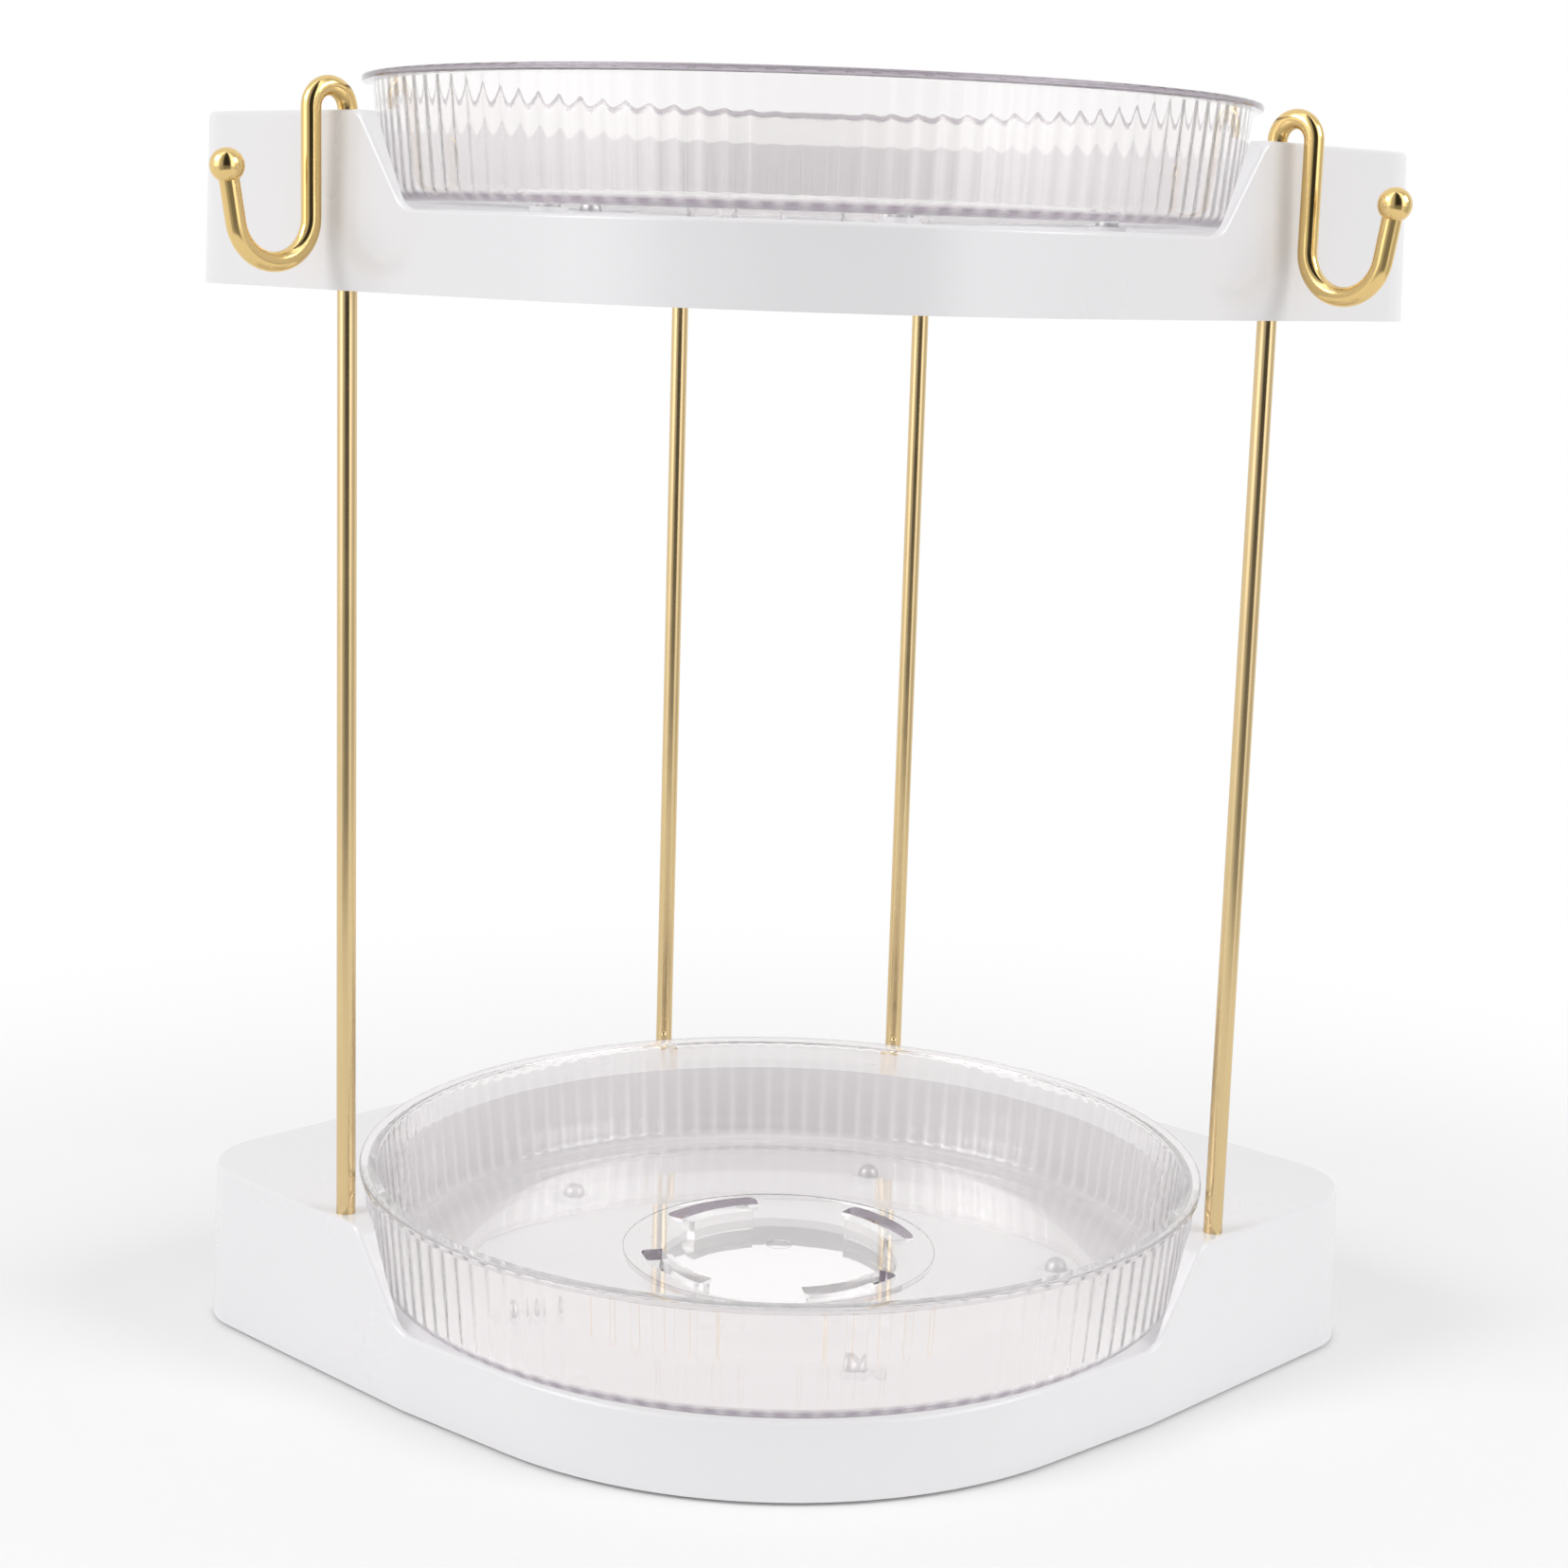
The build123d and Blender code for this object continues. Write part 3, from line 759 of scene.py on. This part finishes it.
    def rib_rows(self) -> tuple[np.ndarray, np.ndarray, np.ndarray]:
        """Rows of the ribbed inner wall, from the plain band down to the floor.

        The wall is straight, then turns into the floor's low ring along a quarter circle.

        Returns:
            Radius, height and rib share of each row. The share swells from nothing below the rim
            along half a cosine wave, and fades out round the quarter circle by a power of its cosine.
        """
        start = self.top - self.plain_band
        bend = self.ring_top + self.corner
        fade = np.linspace(start, start - self.rib_fade, self.fade_rows)
        straight = np.array([fade[-1] - self.lead, bend + self.lead, bend])
        turn = np.linspace(0.0, math.pi / 2, self.corner_steps + 1)[1:]
        middle_r = self.inside(bend) - self.corner
        radius = np.concatenate([
            self.inside(fade), self.inside(straight), middle_r + self.corner * np.cos(turn)])
        height = np.concatenate([fade, straight, bend - self.corner * np.sin(turn)])
        swell = 0.5 - 0.5 * np.cos(np.linspace(0.0, math.pi, self.fade_rows))
        share = np.concatenate([swell, np.ones(len(straight)), np.cos(turn) ** self.rib_end])
        return radius, height, share

    def floor_profile(self) -> np.ndarray:
        """Radius and height of the floor's top from the low ring up the slope to the raised middle.

        Returns:
            One row of radius and height per point.
        """
        low, high = self.ring_top, self.floor_top
        start = self.inside(low + self.corner) - self.corner
        corners = np.array([
            (start, low), (self.foot_in, low), (self.foot_in - self.foot_slope, high),
            (self.join, high)])
        profile = rounded(corners, np.array([self.slope_round, self.slope_round]), self.arc_steps)
        return steadied(profile, self.lead, self.long_side)[1:]

    @property
    def rib_wave(self) -> np.ndarray:
        """How far ribs stand in at each column: 1 minus a power of a raised cosine, a wave a rib."""
        return 1.0 - (0.5 - 0.5 * np.cos(self.ribs * self.angles)) ** self.rib_flat

    def spun(self, radius: np.ndarray, height: np.ndarray,
             columns: Optional[np.ndarray] = None) -> np.ndarray:
        """Points of a surface round the axis: a radius at each angle and a height per row.

        Args:
            radius: Radii, rows by columns or one per row.
            height: Heights, one per row.
            columns: Column numbers, all of them if not given.

        Returns:
            Points, rows by columns by three.
        """
        turn = self.angles if columns is None else self.angles[columns]
        x = self.axis[0] + radius * np.cos(turn)
        y = self.axis[1] + radius * np.sin(turn)
        return np.stack([x, y, np.broadcast_to(height[:, None], x.shape)], axis=-1)

    def shade_on_ribs(self, height: np.ndarray, share: np.ndarray) -> np.ndarray:
        """Painted shade on the ribs: none at the top row, most at the last, with unshaded lines
        between.

        Args:
            height: Height of each row.
            share: Rib share of each row.

        Returns:
            Strength times share times depth times the wave's narrowed bars, rows by columns.
        """
        depth = (height[0] - height) / (height[0] - height[-1])
        bars = 1.0 - (1.0 - self.rib_wave) ** self.bar_power
        return self.rib_shade_strength * (share * depth)[:, None] * bars

    def shade_on_foot(self, outer: np.ndarray) -> np.ndarray:
        """Painted shade on the outside: a band up from the foot, a little weaker between ribs.

        Args:
            outer: Radius and height of each row.

        Returns:
            The painted shade within the band and 0 elsewhere, rows by columns.
        """
        rise = outer[:, 1] - outer[:, 1].min()
        band = (outer[:, 0] > self.foot_in) & (rise > 0.0) & (rise < self.foot_shade_band)
        wave = self.foot_plain + (1.0 - self.foot_plain) * self.rib_wave
        return band[:, None] * self.foot_shade_strength * wave

    def shell(self) -> tuple[np.ndarray, np.ndarray]:
        """The outside, rim and ribbed inside as one surface round the axis.

        Returns:
            Points, rows by columns by three, and the painted shade at each point.
        """
        outer = self.outer_profile()
        radius, height, share = self.rib_rows()
        ribs = self.rib_wave * share[:, None]
        floor = self.floor_profile()
        radii = np.concatenate([
            np.repeat(outer[:, :1], self.columns, axis=1),
            radius[:, None] - self.rib_height * ribs,
            np.repeat(floor[:, :1], self.columns, axis=1)])
        heights = np.concatenate([outer[:, 1], height, floor[:, 1]])
        # Painted shade on the outside of the foot and on the ribs.
        painted_shade = np.zeros(radii.shape)
        painted_shade[:len(outer)] = self.shade_on_foot(outer)
        painted_shade[len(outer):-len(floor)] = self.shade_on_ribs(height, share)
        return self.spun(radii, heights), painted_shade

    def span(self, middle_deg: float, span_deg: float) -> np.ndarray:
        """Columns from one end of a slot or leg to the other, both ends included.

        Args:
            middle_deg: Angle of its middle.
            span_deg: Angle that it spans.

        Returns:
            Column numbers.
        """
        step = 360.0 / self.columns
        first = round((middle_deg - span_deg / 2) / step)
        return np.arange(first, first + round(span_deg / step) + 1) % self.columns

    def slot_edge(self, slots: list[np.ndarray]) -> np.ndarray:
        """Radius of the slots' outer wall at each column, rounded towards both ends of a slot.

        Within the rounding's radius of an end the wall follows a quarter circle inwards.

        Args:
            slots: Columns of each slot.

        Returns:
            Radii, one per column.
        """
        edge = np.full(self.columns, self.slot_out)
        steps = np.arange(len(slots[0]))
        near = np.minimum(steps, steps[::-1]) * self.slot_out * 2 * math.pi / self.columns
        gap = np.clip(self.slot_round - near, 0.0, None)
        drop = np.sqrt(self.slot_round ** 2 - gap ** 2)
        edge[np.stack(slots)] = self.slot_out - self.slot_round + drop
        return edge

    def cells(self, spans: list[np.ndarray]) -> np.ndarray:
        """Whether each cell between two columns lies within a slot or leg.

        Args:
            spans: Columns of each slot or leg.

        Returns:
            One truth value per column, for the cell that follows it.
        """
        taken = np.zeros(self.columns, bool)
        taken[np.concatenate([span[:-1] for span in spans])] = True
        return taken

    def floor_rings(self, draft: Draft, shell: np.ndarray,
                    slots: list[np.ndarray]) -> tuple[np.ndarray, np.ndarray]:
        """Rings of falling radius on the floor's top and underside, in the order of FloorRing.

        Args:
            draft: The mesh in the making.
            shell: Vertex numbers of the shell, whose last and first rows are the outer rings.
            slots: Columns of each slot.

        Returns:
            Vertex numbers of the top's rings and of the underside's, rings by columns.
        """
        radii = [self.leg_out, self.leg_out - self.leg_thick, self.gate]
        rings = [self.slot_edge(slots)] + [np.full(self.columns, radius) for radius in radii]
        top = draft.put(self.spun(np.stack(rings), np.full(len(rings), self.floor_top)))
        low = draft.put(self.spun(np.stack(rings), np.full(len(rings), self.hub_under)))
        return np.concatenate([shell[-1:], top]), np.concatenate([shell[:1], low])

    def add_floor(self, draft: Draft, top: np.ndarray, low: np.ndarray, slots: list[np.ndarray],
                  legs: list[np.ndarray]) -> None:
        """Faces between the rings, left out on both sides at slots and on the underside at legs.

        Args:
            draft: The mesh in the making.
            top: Vertex numbers of the top's rings.
            low: Vertex numbers of the underside's rings.
            slots: Columns of each slot.
            legs: Columns of each leg.
        """
        kept = np.ones((2, len(top) - 1, self.columns), bool)
        kept[:, FloorRing.SLOT] = ~self.cells(slots)
        kept[1, FloorRing.LEG_OUT] = ~self.cells(legs)
        for ring, (above, below) in enumerate(zip(*kept)):
            draft.plain.append(quads(closed(top[ring:ring + 2]))[above, ::-1])
            draft.plain.append(quads(closed(low[ring:ring + 2]))[below])

    def add_middle(self, draft: Draft, top: np.ndarray, low: np.ndarray) -> None:
        """The dimple in the middle of the floor's top and the plain middle of its underside.

        Args:
            draft: The mesh in the making.
            top: Vertex numbers of the top's rings.
            low: Vertex numbers of the underside's rings.
        """
        depth = self.floor_top - self.gate_depth
        dimple = draft.put(self.spun(np.full((1, self.columns), self.gate), np.array([depth])))
        middles = np.array([(*self.axis, depth), (*self.axis, self.hub_under)])
        middle_top, middle_low = draft.put(middles)
        draft.plain.append(quads(closed(np.concatenate([top[FloorRing.GATE:], dimple])))[:, ::-1])
        draft.plain.append(fan(dimple[0], middle_top))
        draft.plain.append(fan(low[FloorRing.GATE], middle_low)[:, ::-1])

    @staticmethod
    def add_slot(draft: Draft, top: np.ndarray, low: np.ndarray, slot: np.ndarray) -> None:
        """A slot's outer wall and ends, which get painted shade, and its inner wall, which does not.

        Args:
            draft: The mesh in the making.
            top: Vertex numbers of the top's rings.
            low: Vertex numbers of the underside's rings.
            slot: Columns of the slot.
        """
        outer_top, inner_top = top[FloorRing.SLOT, slot], top[FloorRing.LEG_OUT, slot]
        outer_low, inner_low = low[FloorRing.SLOT, slot], low[FloorRing.LEG_OUT, slot]
        draft.shaded_faces.append(quads(np.stack([outer_low, outer_top])))
        draft.plain.append(quads(np.stack([inner_top, inner_low])))
        ends = np.stack([outer_top, outer_low, inner_low, inner_top], axis=-1)[[0, -1]]
        draft.shaded_faces += [ends[:1], ends[1:, ::-1]]

    def leg_profile(self) -> np.ndarray:
        """Radius and height round a snap leg, from its outer root over the barb to its inner end.

        Returns:
            One row of radius and height per point.
        """
        barb = self.leg_end + self.barb_rise
        reach, inner = self.leg_out + self.leg_reach, self.leg_out - self.leg_thick
        return np.array([
            (self.leg_out, barb), (reach, barb), (reach, barb - self.barb_lip),
            (self.leg_out, self.leg_end), (inner, self.leg_end)])

    def add_leg(self, draft: Draft, low: np.ndarray, leg: np.ndarray) -> None:
        """A snap leg below the floor: its profile carried round its columns, and both its ends.

        An end is closed by the barb, the shank and the root, which join points of the profile.

        Args:
            draft: The mesh in the making.
            low: Vertex numbers of the underside's rings, which hold the leg's roots.
            leg: Columns of the leg.
        """
        profile = self.leg_profile()
        free = draft.put(self.spun(profile[:, :1], profile[:, 1], leg))
        rows = np.stack([low[FloorRing.LEG_OUT, leg], *free, low[FloorRing.LEG_IN, leg]])
        draft.plain.append(quads(rows))
        barb, shank, root = [[1, 2, 3, 4]], [[1, 4, 5, 6]], [[0, 1, 6]]
        for end, order in ((rows[:, 0], -1), (rows[:, -1], 1)):
            draft.plain += [end[part][:, ::order] for part in (barb, shank, root)]

    def build(self) -> bpy.types.Object:
        """Make the tray as one closed mesh: shell, floor, middle, slots and legs.

        Returns:
            The tray, with the two attributes of its painted shade.
        """
        middles = [self.leg_first_deg + k * 360.0 / self.legs for k in range(self.legs)]
        slots = [self.span(middle, self.slot_span_deg) for middle in middles]
        legs = [self.span(middle, self.leg_span_deg) for middle in middles]
        points, painted_shade = self.shell()
        draft = Draft()
        shell = draft.put(points)
        draft.plain.append(quads(closed(shell))[:, ::-1])
        top, low = self.floor_rings(draft, shell, slots)
        self.add_floor(draft, top, low, slots, legs)
        self.add_middle(draft, top, low)
        for slot in slots:
            self.add_slot(draft, top, low, slot)
        for leg in legs:
            self.add_leg(draft, low, leg)
        name = f"{self.node}_clear"
        piece = mesh_piece(name, np.concatenate(draft.points), draft.plain + draft.shaded_faces)
        self.mark(piece, painted_shade, sum(map(len, draft.plain)))
        return piece

    def mark(self, piece: bpy.types.Object, painted_shade: np.ndarray, plain: int) -> None:
        """Write the attributes that the clear finish reads.

        Args:
            piece: The tray.
            painted_shade: The painted shade at each point of the shell, rows by columns.
            plain: Number of faces before the walls of the slots that get painted shade.
        """
        mesh = piece.data
        edge = np.zeros(len(mesh.polygons), np.float32)
        # Painted shade on the slots' outer walls and ends.
        edge[plain:] = self.slot_shade_strength
        centres = np.zeros(len(mesh.polygons) * 3, np.float32)
        mesh.polygons.foreach_get("center", centres)
        reach = np.hypot(*(centres.reshape(-1, 3)[:, :2] - self.axis).T)
        # Painted shade on the rim's outer edge, stronger on the upper tray.
        edge[reach > self.rim_r - self.rim_round] = self.rim_shade_strength
        mesh.attributes.new("edge", "FLOAT", "FACE").data.foreach_set("value", edge)
        # Painted shade on the foot and the ribs, per point.
        values = np.zeros(len(mesh.vertices), np.float32)
        values[:painted_shade.size] = painted_shade.ravel()
        mesh.attributes.new("painted_shade", "FLOAT", "POINT").data.foreach_set("value", values)

    def dress(self) -> None:
        """Build the tray, give it its finish and let it stand for its node."""
        piece = self.build()
        piece.data.materials.append(finished(CLEAR))
        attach(piece, f"{self.tier.value}_turntable")
        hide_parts(self.node)
        LOG.info("%s: %d faces, %s", piece.name, len(piece.data.polygons), CLEAR.name)


@dataclass
class Stand:
    """The white frames, gilt rods, feet and hidden fasteners, which keep their own solids.

    Attributes:
        frames: Nodes of the white shells.
        rods: Nodes of the gilt tubes.
        feet: Nodes of the pads below.
        sleeves: Nodes of the threaded sleeves in the tubes.
        screws: Nodes of the screws.
    """

    frames: tuple[str, ...] = ("lower_frame", "upper_frame")
    rods: tuple[str, ...] = ("rod_front_left", "rod_front_right", "rod_rear_left", "rod_rear_right")
    feet: tuple[str, ...] = ("foot_front", "foot_left", "foot_right", "foot_rear")
    sleeves: tuple[str, ...] = ("lower_rod_inserts", "upper_rod_inserts")
    screws: tuple[str, ...] = ("lower_rod_screws", "upper_rear_screws")

    def dress(self) -> None:
        """Give every node of the stand its finish."""
        looks = ((self.frames, WHITE), (self.rods, TUBE), (self.feet, PAD), (self.sleeves, SLEEVE),
                 (self.screws, SCREW))
        for nodes, finish in looks:
            for node in nodes:
                dress(node, finish)


@dataclass
class Hook:
    """A gilt hook and the ball on its end."""

    side: Side

    def dress(self) -> None:
        """Give the hook and its ball their finish."""
        dress(f"hook_{self.side.value}", GILT)
        dress(f"hook_{self.side.value}_knob", GILT)


@dataclass
class Bearing:
    """The balls that a tray turns on."""

    tier: Tier

    def dress(self) -> None:
        """Give the balls their finish."""
        start = f"{self.tier.value}_bearing_ball"
        for node in sorted(name for name in frame["nodes"] if name.startswith(start)):
            dress(node, BALL)


@dataclass(frozen=True)
class SoftLamp:
    """A square soft lamp aimed at the middle of the object.

    Attributes:
        name: Name of the lamp.
        place: Where it hangs, in metres.
        power: Its power in watts.
        size: Its side.
    """

    name: str
    place: Place
    power: float
    size: float = 1.2

    def build(self) -> None:
        """Hang the lamp."""
        light = bpy.data.lights.new(self.name, "AREA")
        light.size = self.size
        light.energy = self.power
        lamp = bpy.data.objects.new(self.name, light)
        lamp.location = self.place
        aim = (CAD_BOX[0] + CAD_BOX[1]) / 2 - Vector(self.place)
        lamp.rotation_euler = aim.to_track_quat("-Z", "Y").to_euler()
        bpy.context.scene.collection.objects.link(lamp)


@dataclass
class Studio:
    """A pale floor, a white surround and soft lamps.

    Attributes:
        floor_r: Radius of the round floor.
        floor_sides: Number of its straight sides.
        floor_colour: Colour of the floor.
        fade_start: Distance from the object where the floor starts to turn plain white.
        fade_end: Distance where it is plain white.
        ambient: Strength of the surround's light on surfaces.
        panels: What polished metal sees around it, by the share of a full turn from the back on:
            white behind the object, bright and dim panels in front of it.
        low_share: How much of the panels in front is left well below the horizon.
        low_value: What takes their place there.
        low_reach: Rise of a line of sight at which only that share is left, and where all is there.
        front_reach: Y of a line of sight at which this holds in full, and where it no longer does.
        lamps: The soft lamps.
        bounces: How often light goes on, in all and through clear plastic, so that it gets out again.
        glossy_bounces: How often it goes on from mirroring surfaces.
    """

    floor_r: float = 0.62
    floor_sides: int = 96
    floor_colour: Colour = (0.98, 0.98, 0.98)
    fade_start: float = 0.15
    fade_end: float = 0.5
    ambient: float = 0.665
    panels: tuple[tuple[float, float], ...] = (
        (0.0, 1.0), (0.2, 1.0), (0.27, 1.2), (0.31, 2.2), (0.36, 2.0), (0.4, 0.65), (0.44, 0.6),
        (0.475, 0.03), (0.585, 0.03), (0.62, 2.2), (0.66, 1.6), (0.72, 0.7), (0.79, 0.7), (0.83, 1.0),
        (1.0, 1.0))
    low_share: float = 0.35
    low_value: float = 0.4
    low_reach: tuple[float, float] = (-0.2, 0.0)
    front_reach: tuple[float, float] = (-0.3, 0.1)
    lamps: tuple[SoftLamp, ...] = (
        SoftLamp("key_left", (-2.05, -0.8, 1.7), 20.6),
        SoftLamp("fill_right", (2.05, -0.7, 1.5), 17.6))
    bounces: int = 24
    glossy_bounces: int = 16

    def build(self) -> None:
        """Make the floor, the surround and the lamps, and let light go on long enough."""
        self.floor()
        self.world()
        for lamp in self.lamps:
            lamp.build()
        cycles = bpy.context.scene.cycles
        cycles.max_bounces = self.bounces
        cycles.transmission_bounces = self.bounces
        cycles.glossy_bounces = self.glossy_bounces

    def floor(self) -> None:
        """A round floor, diffuse near the object, plain white further off and through the trays."""
        turn = np.linspace(0.0, 2 * math.pi, self.floor_sides, endpoint=False)
        points = self.floor_r * np.stack([np.cos(turn), np.sin(turn), np.zeros_like(turn)], axis=-1)
        piece = mesh_piece("floor", points, [np.arange(self.floor_sides)[None]])
        material = bpy.data.materials.new("floor")
        material.use_nodes = True
        sheet = NodeSheet(material.node_tree)
        place = sheet.add("ShaderNodeTexCoord").outputs["Object"]
        far = sheet.add("ShaderNodeVectorMath", {0: place}, operation="LENGTH").outputs["Value"]
        fade = sheet.spread(far, 0.0, 1.0, smooth=True, reach=(self.fade_start, self.fade_end))
        far_white = sheet.math("MULTIPLY", fade, self.seen(sheet))
        through = sheet.add("ShaderNodeLightPath").outputs["Is Transmission Ray"]
        share = sheet.math("MAXIMUM", far_white, through)
        matt = sheet.add("ShaderNodeBsdfDiffuse", {"Color": (*self.floor_colour, 1.0)})
        white = sheet.add("ShaderNodeEmission", {"Strength": 1.0})
        mix = sheet.add("ShaderNodeMixShader", {
            "Fac": share, 1: matt.outputs[0], 2: white.outputs[0]})
        sheet.add("ShaderNodeOutputMaterial", {"Surface": mix.outputs[0]})
        piece.data.materials.append(material)

    @staticmethod
    def seen(sheet: NodeSheet) -> bpy.types.NodeSocket:
        """One for rays that see the surround straight, in metal or through clear plastic.

        Args:
            sheet: The sheet to add nodes to.

        Returns:
            The socket with 0 or 1.
        """
        rays = sheet.add("ShaderNodeLightPath").outputs
        shiny = sheet.math("MAXIMUM", rays["Is Glossy Ray"], rays["Is Transmission Ray"])
        return sheet.math("MAXIMUM", rays["Is Camera Ray"], shiny)

    def world(self) -> None:
        """A white surround that lights softly, with panels for polished metal to mirror."""
        world = bpy.data.worlds.new("studio")
        bpy.context.scene.world = world
        world.use_nodes = True
        sheet = NodeSheet(world.node_tree)
        sight = sheet.add("ShaderNodeTexCoord").outputs["Generated"]
        heading = sheet.add("ShaderNodeSeparateXYZ", {0: sight})
        ahead = sheet.math("MULTIPLY", heading.outputs[1], -1.0)
        bearing = sheet.math("ARCTAN2", heading.outputs[0], ahead)
        share = sheet.math("ADD", sheet.math("DIVIDE", bearing, 2 * math.pi), 0.5)
        ramp = sheet.add("ShaderNodeValToRGB", {"Fac": share})
        for place, _ in self.panels[1:-1]:
            ramp.color_ramp.elements.new(place)
        for stop, (place, value) in zip(ramp.color_ramp.elements, self.panels):
            stop.position = place
            stop.color = (value, value, value, 1.0)
        glossy = sheet.add("ShaderNodeLightPath").outputs["Is Glossy Ray"]
        _, along, rise = heading.outputs
        depth = sheet.spread(rise, self.low_share, 1.0, smooth=True, reach=self.low_reach)
        front = sheet.spread(along, depth, 1.0, reach=self.front_reach)
        panel = sheet.add("ShaderNodeMix", {
            "Factor": front, "A": self.low_value, "B": ramp.outputs[0]})
        mirrored = sheet.add("ShaderNodeMix", {"Factor": glossy, "A": 1.0, "B": panel.outputs[0]})
        light = sheet.spread(self.seen(sheet), self.ambient, 1.0)
        strength = sheet.math("MULTIPLY", light, mirrored.outputs[0])
        back = sheet.add("ShaderNodeBackground", {
            "Color": (1.0, 1.0, 1.0, 1.0), "Strength": strength})
        sheet.add("ShaderNodeOutputWorld", {"Surface": back.outputs[0]})


@dataclass
class PhotoCamera:
    """The camera of the photograph, worked out from points of the object.

    Attributes:
        place: Where it stands, in metres.
        yaw: Turn to the right of the +Y axis, in radians.
        pitch: Tilt down.
        roll: Turn about its own axis.
        image: Side of the photograph in pixels.
        focal: Focal length in pixels.
        principal: Pixel that the camera's axis meets.
        sensor: Width of the sensor in millimetres.
        clip: Nearest and furthest distance that it sees.
    """

    place: Place = (-0.01176, -0.75298, 0.3014)
    yaw: float = 0.0315
    pitch: float = 0.1802
    roll: float = 0.0333
    image: float = 1656.0
    focal: float = 2953.9
    principal: tuple[float, float] = (883.8, 796.1)
    sensor: float = 36.0
    clip: tuple[float, float] = (0.05, 50.0)

    def build(self) -> None:
        """Make the camera and let the scene look through it."""
        data = bpy.data.cameras.new("photo_camera")
        data.sensor_width = self.sensor
        data.lens = self.focal / self.image * self.sensor
        data.shift_x = (self.image / 2 - self.principal[0]) / self.image
        data.shift_y = (self.principal[1] - self.image / 2) / self.image
        data.clip_start, data.clip_end = self.clip
        level = math.cos(self.pitch)
        ahead = Vector((
            math.sin(self.yaw) * level, math.cos(self.yaw) * level, -math.sin(self.pitch)))
        right = Vector((math.cos(self.yaw), -math.sin(self.yaw), 0.0))
        up = right.cross(ahead)
        turned_right = right * math.cos(self.roll) + up * math.sin(self.roll)
        turned_up = up * math.cos(self.roll) - right * math.sin(self.roll)
        axes = Matrix((turned_right, turned_up, -ahead)).transposed()
        camera = bpy.data.objects.new("photo_camera", data)
        camera.matrix_world = Matrix.Translation(self.place) @ axes.to_4x4()
        bpy.context.scene.collection.objects.link(camera)
        bpy.context.scene.camera = camera


def main() -> None:
    """Dress the organizer and set up the studio."""
    bpy.context.scene.view_settings.view_transform = "Standard"
    GROUPS.update(mottle=mottle_group(), relief=relief_group())
    Stand().dress()
    for side in Side:
        Hook(side).dress()
    for tier in Tier:
        Bearing(tier).dress()
        Tray(tier, RIM_SHADE_STRENGTHS[tier], FOOT_SHADE_BANDS[tier]).dress()
    Studio().build()
    PhotoCamera().build()


if __name__ == "__main__":
    main()
